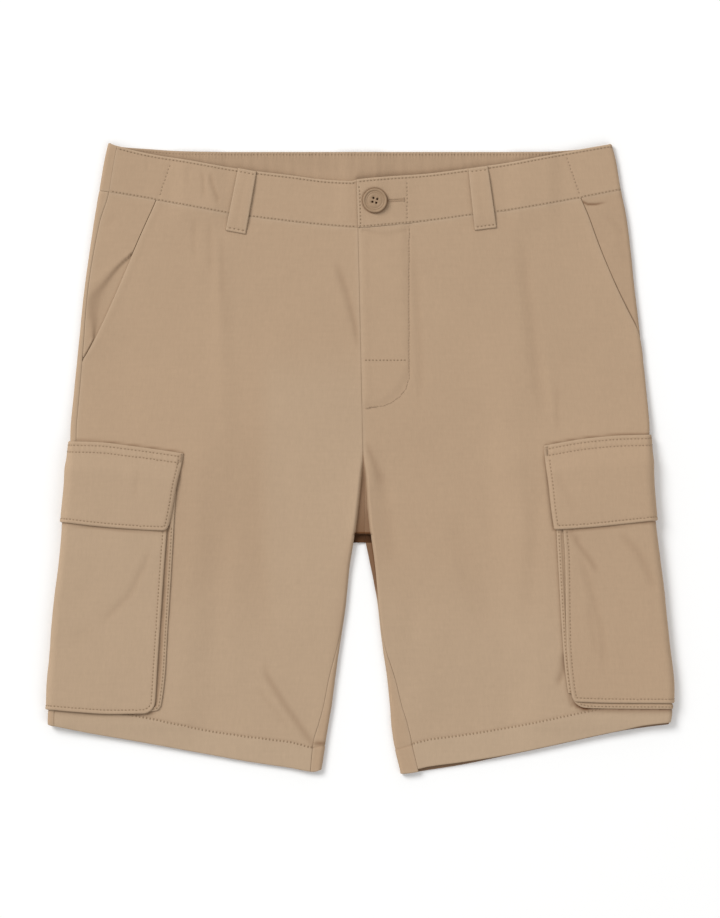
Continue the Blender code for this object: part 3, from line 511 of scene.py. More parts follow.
def over(side, x, y):
    """Height of the front panel's outside."""
    sign = SIDES[side]
    inset = np.maximum(0, side_fold(side, y) - sign * x)
    height = under(side, x, y) + LOFT + SIDE_ROLL * bell(inset / SIDE_ROLL_REACH)
    height += crease_height(x, y)
    if side == "left":
        height += fly_rise(x, y)
    inner = sign * (x - INNER.at(side, y))
    fade = smooth((CROTCH_ROLL_TOP - y) / CROTCH_ROLL_FADE)
    height += fade * INNER_ROLL * bell(np.maximum(inner, 0) / INNER_ROLL_REACH)
    fork = smooth((CROTCH_TOP - y) / VALLEY_FADE)
    rise = FORK_ROLL * fork * smooth((y - FORK_END + 50) / 50)
    height += rise * bell(np.maximum(inner, 0) / FORK_ROLL_REACH)
    depth = (VALLEY + rise) * fork * (y > BACK_CROTCH)
    return height + rolled(inner, FOLD_RADIUS, depth)


def band_over(side, x, y):
    """Height of the front waistband's outside, where the left end laps over the right end."""
    height = over(side, x, y) - crease_height(x, y)
    if side == "left":
        rise = LAP_RISE - LAP_RISE * smooth((x - TAB_END) / LAP_FADE)
        return height - fly_rise(x, y) + rise
    return height - TAB_DROP * smooth((x - TAB_DROP_FROM) / TAB_DROP_FADE)


def folded(side, centre_x, sign, place, y, out, top):
    """The point place mm from a fold whose middle is at centre_x, + over the front and - under the back."""
    low, high = under(side, centre_x, y), top(side, centre_x, y)
    angle = math.pi / 2 * np.clip(place, -ARC, ARC) / ARC
    fold_x = centre_x + sign * (FOLD_RADIUS + out) * np.cos(angle)
    fold_z = (low + high) / 2 + ((high - low) / 2 + out) * np.sin(angle)
    x = centre_x - sign * np.maximum(np.abs(place) - ARC, 0)
    flat_z = np.where(place > 0, top(side, x, y) + out, under(side, x, y) - out)
    on_fold = np.abs(place) <= ARC
    return np.where(on_fold, fold_x, x), y, np.where(on_fold, fold_z, flat_z)


def at_side(side, place, y, out=0, top=over):
    """The point place mm along the cloth from the side fold, + over the front and - under the back."""
    sign = SIDES[side]
    return folded(side, sign * (side_fold(side, y) - FOLD_RADIUS), sign, place, y, out, top)


def side_place(side, x, y):
    """The distance along the front from the side fold to x."""
    return side_fold(side, y) - SIDES[side] * x - FOLD_RADIUS + ARC


def inner_place(side, y):
    """The distance along the flat from the side fold to the start of the fold inside the leg."""
    return side_place(side, INNER.at(side, y) + SIDES[side] * FOLD_RADIUS, y)


def on_leg(side, place, y, out, open_leg, face=1):
    """A point of the front (face 1) or of the back (face -1, where place is negative), which runs on over the
    fold inside the leg where the leg is open."""
    sign, turn = SIDES[side], inner_place(side, y)
    flat = at_side(side, place, y, out)
    middle, on_fold = INNER.at(side, y) + sign * FOLD_RADIUS, face * (ARC + turn) - place
    rolled_in = folded(side, middle, -sign, on_fold, y, out, over)
    beyond = open_leg & (face * place > turn)
    return [np.where(beyond, b, a) for a, b in zip(flat, rolled_in)]


def ripple(x, y, size, turn):
    """Soft unevenness from -1 to 1, in patches of about size mm."""
    total = 0
    for step in range(5):
        angle = turn * 1.7 + step * 2.4
        wave = 2 * math.pi / (size * (0.8 + 0.21 * step))
        across = x * math.cos(angle) + y * math.sin(angle)
        along = y * math.cos(angle) - x * math.sin(angle)
        total = total + np.sin(across * wave + turn * 3.1 + 1.4 * np.sin(along * wave * 0.6 + step * 1.9))
    return total / 5


def rolled(distance, radius, depth):
    """How far an edge rounds down, at a distance from it: a quarter of an ellipse."""
    t = np.clip(1 - distance / radius, 0, 1)
    return -depth * (1 - np.sqrt(np.maximum(0, 1 - t**2)))


def sunk(distance, along, depth, width=0.8):
    """The line that a row of stitches sinks into the cloth, and the puckers on both sides of it."""
    pucker = settings().cloth.pucker / MM
    beat = ripple(along, along * 0.31, 6.5, 3)
    return -depth * bell(distance / width) + pucker * beat * bell(distance / 3.6)


def row_shade(distance, amount):
    """The faint shade in the groove of a row of stitches."""
    return amount * bell(distance / 0.75)


def wall(relief, depth, thickness, thinnest=0.3):
    """How far a point of a cloth wall stands out: by its relief outside, by the wall's thickness inside."""
    return np.where(depth > 0, -depth, np.maximum(relief, thinnest - thickness))


def padded_edge(distance, row, height):
    """The soft swelling between a finished edge and its row of stitches."""
    t = np.clip(distance / row, 0, 1)
    return height * np.sin(math.pi * t)


def from_line(points, x, y):
    """Distance to a line of points, and how far along it, as arrays."""
    best = np.full(np.broadcast(x, y).shape, 1e9)
    along = np.zeros_like(best)
    walked = 0
    for (x0, y0), (x1, y1) in zip(points, points[1:]):
        length = math.hypot(x1 - x0, y1 - y0)
        t = np.clip(((x - x0) * (x1 - x0) + (y - y0) * (y1 - y0)) / length**2, 0, 1)
        away = np.hypot(x - x0 - t * (x1 - x0), y - y0 - t * (y1 - y0))
        along = np.where(away < best, walked + t * length, along)
        best = np.minimum(away, best)
        walked += length
    return best, along


def unevenness(x, y, turn):
    amount = settings().cloth.unevenness / MM
    return amount * (ripple(x, y, 48, turn) + 0.4 * ripple(x, y, 19, turn + 1))


def stations(first, count, last):
    """Stations of a grid from edge to edge, as kinds and values: 0 a distance from the first edge, 1 a share
    of what lies between the two edge zones, 2 a distance from the last edge."""
    kinds = [0] * len(first) + [1] * (count - 1) + [2] * len(last)
    shares = [step / count for step in range(1, count)]
    return np.array(kinds), np.array(list(first) + shares + list(last)[::-1], float), first[-1], last[-1]


def spread(marks, index, start, end):
    """Where the stations lie between two edges."""
    kinds, values, first, last = marks
    kind, value = kinds[index], values[index]
    sign = np.where(end > start, 1, -1)
    inner, outer = start + sign * first, end - sign * last
    between = inner + (outer - inner) * value
    return np.where(kind == 0, start + sign * value, np.where(kind == 2, end - sign * value, between))


def made_paler(edge, share):
    """The distance from the edge, changed so that the cloth is at least as pale as the share."""
    return np.minimum(edge, -WEAR_REACH * np.log(np.maximum(share, 1e-6)))


def new_piece(name, data, finish=None):
    """An object for a mesh, a light or a camera, in the scene, with its finish."""
    if finish:
        data.materials.append(finish)
    piece = bpy.data.objects.new(name, data)
    bpy.context.scene.collection.objects.link(piece)
    return piece


def to_mesh(work, name):
    """A new mesh from a working one, which is let go."""
    mesh = bpy.data.meshes.new(name)
    work.to_mesh(mesh)
    work.free()
    return mesh


def lay(name, columns, rows, point, thickness):
    """A cloth wall: a flat grid made into a slab, then laid on point(column, row, depth).

    columns and rows are stations or their number. depth is 0 on the wall's outside and the wall's thickness
    on its inside. point gives x, y, z, the cloth's own two coordinates for its weave, the distance from the
    nearest edge and, where it is given, the shade painted on it.
    """
    columns, rows = (count if isinstance(count, int) else len(count[0]) - 1 for count in (columns, rows))
    slab = 0.1
    work = bmesh.new()
    bmesh.ops.create_grid(work, x_segments=columns, y_segments=rows, size=1)
    bmesh.ops.solidify(work, geom=work.faces[:], thickness=slab)
    work.verts.index_update()
    flat = np.array([vertex.co for vertex in work.verts])
    faces = [[vertex.index for vertex in face.verts] for face in work.faces]
    work.free()
    firsts = [face.index(min(face)) for face in faces]
    mesh = bpy.data.meshes.new(name)
    # The slab's faces come in another order in each run, so they are put in order here
    mesh.from_pydata(flat, [], sorted(face[at:] + face[:at] for face, at in zip(faces, firsts)))
    column = np.rint((flat[:, 0] + 1) / 2 * columns).astype(int)
    row = np.rint((flat[:, 1] + 1) / 2 * rows).astype(int)
    depth = np.where(np.abs(flat[:, 2]) > slab / 2, thickness, 0)
    x, y, z, across, down, edge, *painted_shade = point(column, row, depth)
    mesh.vertices.foreach_set("co", (np.stack([x, y, z], axis=1) * MM).ravel())
    # Painted shade on the cloth's cut walls, a dark line along every seam and edge; edges are also made
    # paler, partly as wear and partly as a painted highlight
    wall_painted_shade = 0.5 * (1 - smooth(edge / 0.3)) * (edge >= 0)
    wear_and_light = np.exp(-np.maximum(edge, 0) / WEAR_REACH)
    for label, values in (("edge", wear_and_light), ("painted_shade", wall_painted_shade + (painted_shade[0] if painted_shade else 0))):
        mesh.attributes.new(label, "FLOAT", "POINT").data.foreach_set("value", values)
    corners = np.empty(len(mesh.loops), int)
    mesh.loops.foreach_get("vertex_index", corners)
    weave = np.stack([across[corners], down[corners]], axis=1) * MM
    mesh.uv_layers.new(name="weave").data.foreach_set("uv", weave.ravel())
    work = bmesh.new()
    work.from_mesh(mesh)
    bmesh.ops.recalc_face_normals(work, faces=work.faces[:])
    if work.calc_volume(signed=True) < 0:
        bmesh.ops.reverse_faces(work, faces=work.faces[:])
    work.to_mesh(mesh)
    work.free()
    mesh.shade_smooth()
    mesh.set_sharp_from_angle(angle=math.radians(55))
    return new_piece(name, mesh, finish_of("cotton twill"))


def settle(level_at, x_at, y):
    """The height at which a grid point's own place agrees with the edge that it follows."""
    for _ in range(4):
        y = level_at(x_at(y))
    return y


def leg_levels(crotch, pitch):
    """Levels of a leg's rows, close together at the waist seam, at the hem's stitches and at its edge."""
    top = [LEG_TOP - step for step in EDGE[:-1]]
    first, last = LEG_TOP - EDGE[-1], LEG_LOW + ROW_ZONE[-1]
    upper = list(np.linspace(first, crotch[0], round((first - crotch[0]) / pitch) + 1))
    lower = list(np.linspace(crotch[-1], last, round((crotch[-1] - last) / pitch) + 1))
    hem = [LEG_LOW + step for step in ROW_ZONE[-2::-1]]
    turn_up = list(np.linspace(hem[-1], LEG_LOW + EDGE[-1], 7)[1:-1])
    legs = top + upper + list(crotch[1:-1]) + lower
    return np.array(legs + hem + turn_up + [LEG_LOW + step for step in EDGE[::-1]])


def leg_height(level, x, seam="seam", hem="front"):
    """The height of a row: level across the leg, easing to the waist seam above and to the hem below."""
    above = 1 - smooth((LEG_TOP - level - 12) / 95)
    below = 1 - smooth((level - LEG_LOW - 32) / 100)
    return level + (WAIST.at(seam, x) - SEAM - LEG_TOP) * above + (HEM.at(hem, x) - LEG_LOW) * below


def hem_relief(x, above_hem):
    """The hem's turned-up cloth, its row of stitches and its rounded edge."""
    row = HEM_ABOVE.at("row", x)
    height = 0.28 * smooth((row + 0.6 - above_hem) / 1.4)
    height += sunk(above_hem - row, x, 0.34)
    height += 0.1 * ripple(x, above_hem * 0.4, 15, 5) * smooth((row - above_hem) / 3)
    return height + rolled(above_hem, 1.3, 0.8)


def front_edges(side, y, open_leg):
    sign = SIDES[side]
    mouth = np.where(y > MOUTH.keys[0], MOUTH.at(side, y), -ARC)
    first = np.maximum(SIDE_SEAM.at(side, y) + SEAM, mouth)
    inner = inner_place(side, y) + ARC - INSEAM.at(side, y) - SEAM
    centre = side_place(side, CENTRE.at("front", y) + sign * SEAM, y)
    return first, np.where(open_leg, inner, centre)


def front_relief(side, x, y, first, last, place):
    """Everything that stands out of or sinks into a front panel."""
    below_top = WAIST.at("seam", x) - SEAM - y
    above_hem = y - HEM.at("front", x)
    from_first, from_last = place - first, last - place
    above_row = above_hem - HEM_ABOVE.at("row", x)
    fold, painted_shade = folds(FOLDS, x, y)
    off_hem = smooth((above_row + 1) / 3)
    fold = fold * settings().cloth.crease * (0.25 + 0.75 * off_hem)
    painted_shade *= off_hem
    height = unevenness(x, y, 1 + SIDES[side]) + fold
    bunch = bell(np.hypot(x - HEM_BUNCH[0], y - HEM_BUNCH[1]) / 3.6)
    height -= 0.6 * bunch
    # Painted shade in the hollow of the bunched hem, and shadows painted round the cargo pocket
    painted_shade += 0.8 * bunch + painted_pocket_shadow(side, x, y)
    finished_mouth = smooth((y - 84) / 5)
    height += finished_mouth * (rolled(from_first, 1.4, 0.65) + padded_edge(from_first, 7, 0.22))
    height += (1 - finished_mouth) * rolled(from_first, 1.5, 0.4)
    height += rolled(from_last, 1.1, np.where(y > FRONT_CROTCH, 0.12, 0.26)) + rolled(below_top, 1.1, 0.12)
    height += 0.12 * ripple(x, below_top * 0.2, 7, 4) * bell(below_top / 5)
    on_fly = smooth((y - FLY_END) / 6)
    if side == "left":
        height += on_fly * (padded_edge(from_last, 9, 0.25) - 0.35 * bell(from_last / 2))
        height += sunk(*from_line(FLY_ROW, x, y), 0.34)
        height += sunk(*from_line(FLY_CROSS, x, y), 0.16)
        away, _ = from_line(BUTTON_PUCKER, x, y)
        pucker = bell(away / 1.4)
        # Painted shade in the puckers by the button
        height, painted_shade = height - 0.4 * pucker, painted_shade + 0.12 * pucker
    else:
        height += 0.2 * on_fly * bell(from_last / 2)
    edge = np.minimum.reduce([from_first, from_last, below_top, above_hem])
    # Painted light: the front is made paler towards the hem and on the inner right leg, where the lamp's
    # light falls off; below the hem's row of stitches it is as pale as an edge
    pale = smooth((-60 - y) / 120)
    if side == "right":
        pale = np.maximum(pale, smooth((x + 92) / 22) * smooth((110 - y) / 60))
    edge = made_paler(np.where((above_row < 0) & (edge > 0.4), -1, edge), 0.55 * pale)
    # Painted shade along the centre seam and in the hem's row of stitches
    seam_painted_shade = (0.25 + 0.1 * smooth((45 - y) / 35)) * smooth((y + 4) / 8)
    painted_shade += seam_painted_shade * bell(from_last / 0.8) + row_shade(above_row, 0.16)
    return height + hem_relief(x, above_hem), edge, painted_shade


def front_edge(part, side, y):
    """The distance along the cloth from the side fold to the front edge of a cargo pocket's part."""
    table = FLAP if part == "flap" else POCKET
    return side_place(side, SIDES[side] * table.at(f"{part}_{side}", y), y)


def level_edge(edge, side, place):
    """The height of a level edge of the cargo pocket: flap_top, flap_low or low."""
    return POCKET_EDGES.at(f"{edge}_{side}", np.abs(place))


def low_edge(part, side, place):
    """The height of the lower edge of a cargo pocket's part."""
    if part == "flap":
        return level_edge("flap_low", side, place)
    return level_edge("low", side, place) - (GUSSET_DROP[side] if part == "gusset" else 0)


def painted_pocket_shadow(side, x, y):
    """The shadow painted on the leg in the corners beside, below and above the cargo pocket."""
    out = SIDES[side] * x
    place = np.maximum(side_place(side, x, y), 0)
    low = low_edge("gusset", side, place)
    top = level_edge("flap_top", side, place)
    gusset, flap = POCKET.at(f"gusset_{side}", y), FLAP.at(f"flap_{side}", y)
    below = bell(np.maximum(low - y, 0) / 3) * smooth((out - gusset - 1) / 9)
    above = bell((y - top - 0.3) / 1.1) * (out > flap)
    beside = bell(np.maximum(gusset - out, 0) / 1.5) * smooth((top - 62 - y) / 8) * (y > low)
    by_flap = bell(np.maximum(flap - out, 0) / 1.3) * smooth((top - y) / 14)
    by_flap *= smooth((y - top + 74) / 2)
    return POCKET_SHADE[side] * beside + 1.1 * below * (y < low + 3) + 0.9 * above + 0.9 * by_flap


def front_place(side, marks, column, y, open_leg):
    """Where the grid's columns lie. At the fork they keep the places that they have on the open leg."""
    first, last = front_edges(side, y, open_leg)
    place = spread(marks, column, first, last)
    turn = inner_place(side, y)
    inseam = front_edges(side, y, True)[1]
    on_leg = spread(marks, column, first, inseam)
    share = (on_leg - turn) / (inseam - turn)
    squeezed = np.where(on_leg > turn, turn + share * (last - turn), on_leg)
    near_fork = 1 - smooth((y - CROTCH_TOP) / 26)
    return first, last, np.where(open_leg, place, place + near_fork * (squeezed - place))


def front_leg(side):
    """A front panel: pocket mouth or side seam, over the front, to the fly, crotch or inseam."""
    by_fly = list(np.linspace(16, 37, 9)) + FLY_ZONE if side == "left" else []
    marks = stations(SIDE_ZONE, 96, FORK_ZONE + by_fly)
    levels = leg_levels((-64.4, -64.6), 2.3)

    def point(column, row, depth):
        open_leg = levels[row] < FRONT_CROTCH

        def x_at(y):
            return on_leg(side, front_place(side, marks, column, y, open_leg)[2], y, 0, open_leg)[0]

        y = settle(lambda x: leg_height(levels[row], x), x_at, levels[row])
        first, last, place = front_place(side, marks, column, y, open_leg)
        relief, edge, fold_painted_shade = front_relief(side, x_at(y), y, first, last, place)
        inner = SIDES[side] * (x_at(y) - INNER.at(side, y))
        fork = smooth((8 - y) / 10) * (y > FORK_LOW) * smooth((0.2 - inner) / 0.6)
        edge = np.where((y < 4) & (y > FORK_LOW) & (inner < 0.5), 9, edge)
        # Painted shade in the fork between the legs and under the front's crotch edge, more on the right
        # leg's side, where the shade falls
        painted_shade = fold_painted_shade + 1.8 * (1 - smooth((y - FRONT_CROTCH) / 2.2)) * (inner < 0.5) * (y > FORK_LOW)
        if side == "right":
            painted_shade += fork * (1.1 + 0.15 * smooth((2 - y) / 20) + 0.23 * smooth((-30 - y) / 30))
            painted_shade += 0.3 * bell(np.maximum(inner, 0) / 5) * smooth((-50 - y) / 30)
        else:
            painted_shade += fork * (0.95 + 0.42 * smooth((-32 - y) / 24))
        out = wall(relief, depth, CLOTH)
        return (*on_leg(side, place, y, out, open_leg), place, y, edge, painted_shade)

    return lay(f"front_panel_{side}", marks, len(levels) - 1, point, CLOTH)


def back_leg(side):
    """A back panel: side seam, side fold, underneath, then up to the inseam or the centre seam."""
    sign = SIDES[side]
    marks = stations(BACK_SIDE_ZONE, 58, BACK_ZONE)
    levels = leg_levels((-61.6, -62.8, -63.6, -64.3, -65, -65.8, -67.2, -69.3, -71.4, -71.6), 3.4)

    def edges(y, open_leg):
        first = SIDE_SEAM.at(side, y) - SEAM
        inner = inner_place(side, y) + ARC + INSEAM.at(side, y) - SEAM
        centre = side_place(side, CENTRE.at("back", y) + sign * SEAM, y)
        return first, -np.where(open_leg, inner, centre)

    def point(column, row, depth):
        open_leg = levels[row] < BACK_CROTCH

        def x_at(y):
            return on_leg(side, spread(marks, column, *edges(y, open_leg)), y, 0, open_leg, -1)[0]

        y = settle(lambda x: leg_height(levels[row], x, "back_seam", "back"), x_at, levels[row])
        first, last = edges(y, open_leg)
        place = spread(marks, column, first, last)
        x = x_at(y)
        turned = -ARC - place - inner_place(side, y)
        shows = np.maximum(smooth((place + ARC) / 3), open_leg * smooth((turned + ARC) / 3))
        below_top = WAIST.at("back_seam", x) - SEAM - y
        above_hem = y - HEM.at("back", x)
        from_first, from_last = first - place, place - last
        relief = unevenness(place, y, 3 + sign) + rolled(from_first, 1.5, 0.6) + rolled(from_last, 1.5, 0.6)
        relief = (relief + rolled(below_top, 1.6, 0.6) + hem_relief(x, above_hem)) * shows
        edge = np.minimum.reduce([from_first, from_last, below_top, above_hem])
        x, y, z = on_leg(side, place, y, wall(relief, depth, CLOTH), open_leg, -1)
        # Painted shade: in the crotch beyond the front's fold, on the inside of the hem, under the hem's
        # bunch and in the hem's row of stitches
        beyond = smooth((-place - inner_place(side, y) + 3) / 3) * (y < 20)
        closed = np.where(open_leg, 0, 1)
        painted_shade = (3.1 - 0.7 * smooth((-68 - y) / 4)) * beyond * closed
        if side == "left":
            lip = LIP.at("out", y) * open_leg * smooth(from_last / 1) * smooth((turned + 22) / 18)
            x = x - lip
            z = z - 0.4 * depth * (from_last < 1.3) * (lip > 0)
            painted_shade += beyond * open_leg * smooth((y + 128) / 22) * 1.65
        else:
            painted_shade += 0.5 * open_leg * bell((turned + ARC) / 5) * smooth((-60 - y) / 60)
            bunch = ((x - HEM_BUNCH[0]) / 6) ** 2 + ((y - HEM_BUNCH[1]) / 1.7) ** 2
            painted_shade += 1.1 * np.exp(-bunch) * shows
        painted_shade += 1.2 * (1 - smooth((above_hem - 3) / 6)) * (depth > 0)
        row_at = above_hem - HEM_ABOVE.at("row", x)
        painted_shade += 0.4 * bell(row_at / 0.7) * shows
        return x, y, z, place, y, edge, painted_shade

    return lay(f"back_panel_{side}", marks, len(levels) - 1, point, CLOTH)


def hip_facing(side):
    """The facing in the slant pocket's mouth: side seam to a strip under the front panel."""
    across = 46
    shares = [0.5 - 0.5 * math.cos(math.pi * step / across) for step in range(across + 1)]
    reaches = [0.5, 1.2, 2.4, 4.4, 7, 10, 13]
    values = np.array(shares + reaches)
    beyond = np.array([False] * len(shares) + [True] * len(reaches))
    levels = np.array(
        [LEG_TOP - step for step in EDGE[:-1]]
        + list(np.linspace(LEG_TOP - EDGE[-1], LEG_TOP - 18, 22))
        + list(np.linspace(LEG_TOP - 20, FACING_BOTTOM, 58))
    )
    beneath = -(CLOTH + GAP)

    def point(column, row, depth):
        def parts(y):
            seam = SIDE_SEAM.at(side, y) + SEAM
            width = np.maximum(MOUTH.at(side, y) - seam, FACING_SHUT / 2)
            share = np.where(beyond[column], 1, values[column])
            return seam, width, seam + width * share + np.where(beyond[column], values[column], 0)

        def x_at(y):
            return at_side(side, parts(y)[2], y)[0]

        y = settle(lambda x: leg_height(levels[row], x), x_at, levels[row])
        seam, width, along = parts(y)
        x = x_at(y)
        gape = GAPE.at(side, y)
        ramp = (0.6 + 0.45 * gape) * (1 + 1.6 * smooth((158 - y) / 30))
        ramp = np.minimum(ramp, FACING_RAMP_SHARE * width)
        drop = smooth((along - (seam + width - gape - ramp)) / ramp)
        drop = np.where(width < FACING_SHUT, 1, drop)
        below_top = WAIST.at("seam", x) - SEAM - y
        fold, fold_painted_shade = folds(FACING_FOLDS, x, y)
        relief = unevenness(x, y, 6 + SIDES[side]) + rolled(along - seam, 1.5, 0.55) + fold
        relief += rolled(below_top, 1, 0.15)
        gapes = gape > 0.5
        relief += 0.3 * bell((along - (seam + width - gape - 2 * ramp)) / 3) * gapes
        if side == "left":
            away, walked = from_line(FACING_CREASE, x, y)
            relief -= 0.6 * bell(away / 1.3) * smooth((23 - walked) / 14)
        out = beneath * drop + wall(relief * (1 - drop), depth, POCKET_CLOTH)
        middle = seam + width - gape - ramp / 2
        # Painted shade in the gaping mouth, in the facing's folds and along its crease
        painted_shade = FACING_DARKENING[side] + fold_painted_shade
        painted_shade += 0.4 * bell((along - middle) / (1 + 0.5 * ramp)) * gapes
        if side == "left":
            painted_shade += 1.3 * bell(away / 1) * smooth((23 - walked) / 14)
        return (*at_side(side, along, y, out), along, y, np.minimum(along - seam, below_top), painted_shade)

    return lay(f"hip_pocket_facing_{side}", len(values) - 1, len(levels) - 1, point, POCKET_CLOTH)


def waistband_front(side):
    """One half of the front waistband. The right end runs on under the left end as a tab for the button."""
    marks = stations(EDGE, 200, BUTTON_ZONE if side == "left" else EDGE)
    rows = stations(EDGE, 42, EDGE)
    thickness = LAP_CLOTH if side == "left" else TAB_CLOTH

    def point(column, row, depth):
        def edges(y):
            first = SIDE_SEAM.at(side, y) + SEAM
            end = CENTRE.at("front", y) + SEAM if side == "left" else TAB_END
            return first, side_place(side, end, y)

        def x_at(y):
            return at_side(side, spread(marks, column, *edges(y)), y, 0, band_over)[0]

        def band(x):
            tuck = np.where((side == "right") & (x > TAB_FROM), TAB_TUCK, 0)
            return WAIST.at("seam", x) + SEAM + tuck, WAIST.at("top", x) - tuck

        y = settle(lambda x: spread(rows, row, *band(x)), x_at, np.full(column.shape, WAISTBAND_MIDDLE))
        first, last = edges(y)
        place = spread(marks, column, first, last)
        x = x_at(y)
        low, high = band(x)
        above, below = y - low, high - y
        fold, painted_shade = folds(BAND_FOLDS, x, y)
        relief = 0.5 * unevenness(x, y, 8 + SIDES[side]) + fold
        relief += rolled(above, 1, 0.12) + rolled(below, 1.7, 0.95)
        relief += padded_edge(below, BAND_TOP_ROW, 0.12)
        relief += sunk(below - BAND_TOP_ROW, x, 0.16) + sunk(above - BAND_SEAM_ROW, x, 0.12, 0.7)
        relief += sunk(*from_line(ELASTIC_ROWS[side], x, y), 0.22, 1.2)
        painted_shade += row_shade(above - BAND_SEAM_ROW, 0.26) + row_shade(below - BAND_TOP_ROW, 0.16)
        relief += rolled(place - first, 1.2, 0.3)
        if side == "left":
            relief += rolled(last - place, 1.4, 0.5)
            relief += sunk(*from_line(LAP_ROW, x, y), 0.2)
            relief += sunk(*from_line(FLY_BAND_ROW, x, y), 0.2, 0.9)
            # Painted shade in the buttonhole's slit, and a painted shadow round and under the button
            away, _ = from_line(BUTTONHOLE, x, y)
            relief -= 0.15 * bell(away / 2.6)
            painted_shade += 0.5 * np.exp(-((away / 1.3) ** 4))
            rim = np.hypot(x - BUTTON_AT[0], y - BUTTON_AT[1]) - BUTTON_RADIUS
            relief -= 0.2 * bell(rim / 1.6)
            painted_shade += 1.3 * bell((rim - 0.3) / 0.7) + 2.6 * (rim < -4)
        out = wall(relief, depth, thickness, BAND_THINNEST)
        edge = np.minimum.reduce([above, below, place - first, last - place])
        return (*at_side(side, place, y, out, band_over), place, y, edge, painted_shade)

    return lay(f"waistband_front_{side}_cloth", marks, rows, point, thickness)


def elastic(x):
    """1 along the back waistband's elastic, fading to 0 at its two ends."""
    return smooth((x - GATHER_FROM) / GATHER_FADE) * smooth((GATHER_TO - x) / GATHER_FADE)


def gathers(x, y):
    """The elastic's soft gathers inside the back waistband, uneven in width and deepest between the rows."""
    shifted = x + 3.6 * ripple(x, 0, 60, 2) + 0.9 * ripple(x, y, 30, 7)
    wave = np.cos(2 * math.pi * shifted / GATHER_PITCH) + 0.45 * np.cos(2 * math.pi * shifted / 7.3 + 1)
    return -0.25 + elastic(x) * 0.15 * wave * (0.7 + 0.3 * ripple(x, 0, 80, 5))


def pulled(x, below):
    """The fine puckers where the elastic is sewn in, just under the back waistband's top edge."""
    beat = np.cos(2 * math.pi * (x + 0.5 * ripple(x, 0, 9, 1)) / PULL_PITCH)
    reach = 5 + 2.5 * ripple(x, 0, 14, 4)
    return 0.3 * elastic(x) * beat * smooth(below / 1.2) * (1 - smooth((below - 2) / reach))


def waistband_back():
    """The back waistband, from seam to seam round both side folds, gathered by its elastic."""
    fold, flat = 14, 560
    rows = stations(EDGE, 16, EDGE + [7.4, 8.8])
    count = fold + flat + fold

    def point(column, row, depth):
        share = np.clip((column - fold) / flat, 0, 1)

        def place_on(side, y):
            first = SIDE_SEAM.at(side, y) - SEAM
            step = column if side == "right" else count - column
            return first - (ARC + first) * np.minimum(step / fold, 1)

        def x_flat(y):
            start = at_side("right", -ARC, y)[0]
            return start + (at_side("left", -ARC, y)[0] - start) * share

        def choose(on_right, middle, on_left):
            return np.where(column < fold, on_right, np.where(column > fold + flat, on_left, middle))

        def x_at(y):
            right, left = (at_side(side, place_on(side, y), y)[0] for side in SIDES)
            return choose(right, x_flat(y), left)

        def band(x):
            return WAIST.at("back_seam", x) + SEAM, WAIST.at("back_top", x)

        y = settle(lambda x: spread(rows, row, *band(x)), x_at, np.full(column.shape, WAISTBAND_MIDDLE))
        x = x_at(y)
        low, high = band(x)
        above, below = y - low, high - y
        edge_form = rolled(above, 1.3, 0.6) + rolled(below, 1.5, 0.7)
        inside = gathers(x, y) * smooth(below / 5) + rolled(below, 1.5, 0.6)
        inside += sunk(below - BACK_ROW, x, 0.16)
        from_front = y - WAIST.at("top", x)
        lapped = smooth((x + 6) / 6)
        lifted = smooth((x + 75) / 40) * (1 - lapped)
        inside += pulled(x, below) + 1.4 * lifted * bell(from_front / 6)
        # Painted shade on the band's inside, deeper where the front band's top edge shades it
        shade = 0.12 + 0.3 * lapped * (1 - smooth((x - 60) / 60))
        painted_shade = (0.22 + shade * bell(from_front / 3.6)) * (depth > 0)
        out = np.where(depth > 0, -depth, edge_form)
        right, left = (at_side(side, place_on(side, y), y, out, band_over) for side in SIDES)
        z = under("left", x, y) + np.where(depth > 0, depth + inside, 0)
        placed = [choose(a, b, c) for a, b, c in zip(right, (x_flat(y), y, z), left)]
        return (*placed, x, y, np.minimum(above, below), painted_shade)

    return lay("waistband_back_cloth", count, rows, point, WAISTBAND_CLOTH)


def loop_size(side, down):
    """A front belt loop's length, and its half width at a distance down from its upper end."""
    top, low, width_top, width_low = LOOPS[side]
    length = math.dist(top, low)
    return length, (width_top + (width_low - width_top) * down / length) / 2


def loop_surface(side, share, across):
    """The outside of a front belt loop: x, y and its height, arched off the band."""
    (x0, y0), (x1, y1), _, _ = LOOPS[side]
    length = math.hypot(x1 - x0, y1 - y0)
    x = x0 + (x1 - x0) * share + (y0 - y1) / length * across
    y = y0 + (y1 - y0) * share + (x1 - x0) / length * across
    carried = band_over(side, x, y) + np.maximum(0, crease_height(x, y))
    arch = LOOP_ARCH * smooth(share / 0.3) * smooth((1 - share) / 0.25)
    return x, y, carried + GAP + LOOP_CLOTH + arch


def belt_loop(side):
    """A front belt loop, from the waistband's top edge to just below its seam."""
    columns = stations(LOOP_ZONE, 8, LOOP_ZONE)
    rows = stations(EDGE, 26, EDGE)
    length = loop_size(side, 0)[0]

    def point(column, row, depth):
        down = spread(rows, row, 0, length)
        half = loop_size(side, down)[1]
        across = spread(columns, column, -half, half)
        x, y, z = loop_surface(side, down / length, across)
        ends = np.minimum(down, length - down)
        from_side = half - np.abs(across)
        relief = rolled(from_side, 1.1, 0.75) + rolled(ends, 1.2, 0.8)
        relief += sunk(ends - LOOP_ROW, across, 0.3) + padded_edge(from_side, half, 0.18)
        out = wall(relief, depth, LOOP_CLOTH, BAND_THINNEST)
        return x, y, z + out, across, down, np.minimum(ends, from_side)

    return lay(f"belt_loop_front_{side}", columns, rows, point, LOOP_CLOTH)


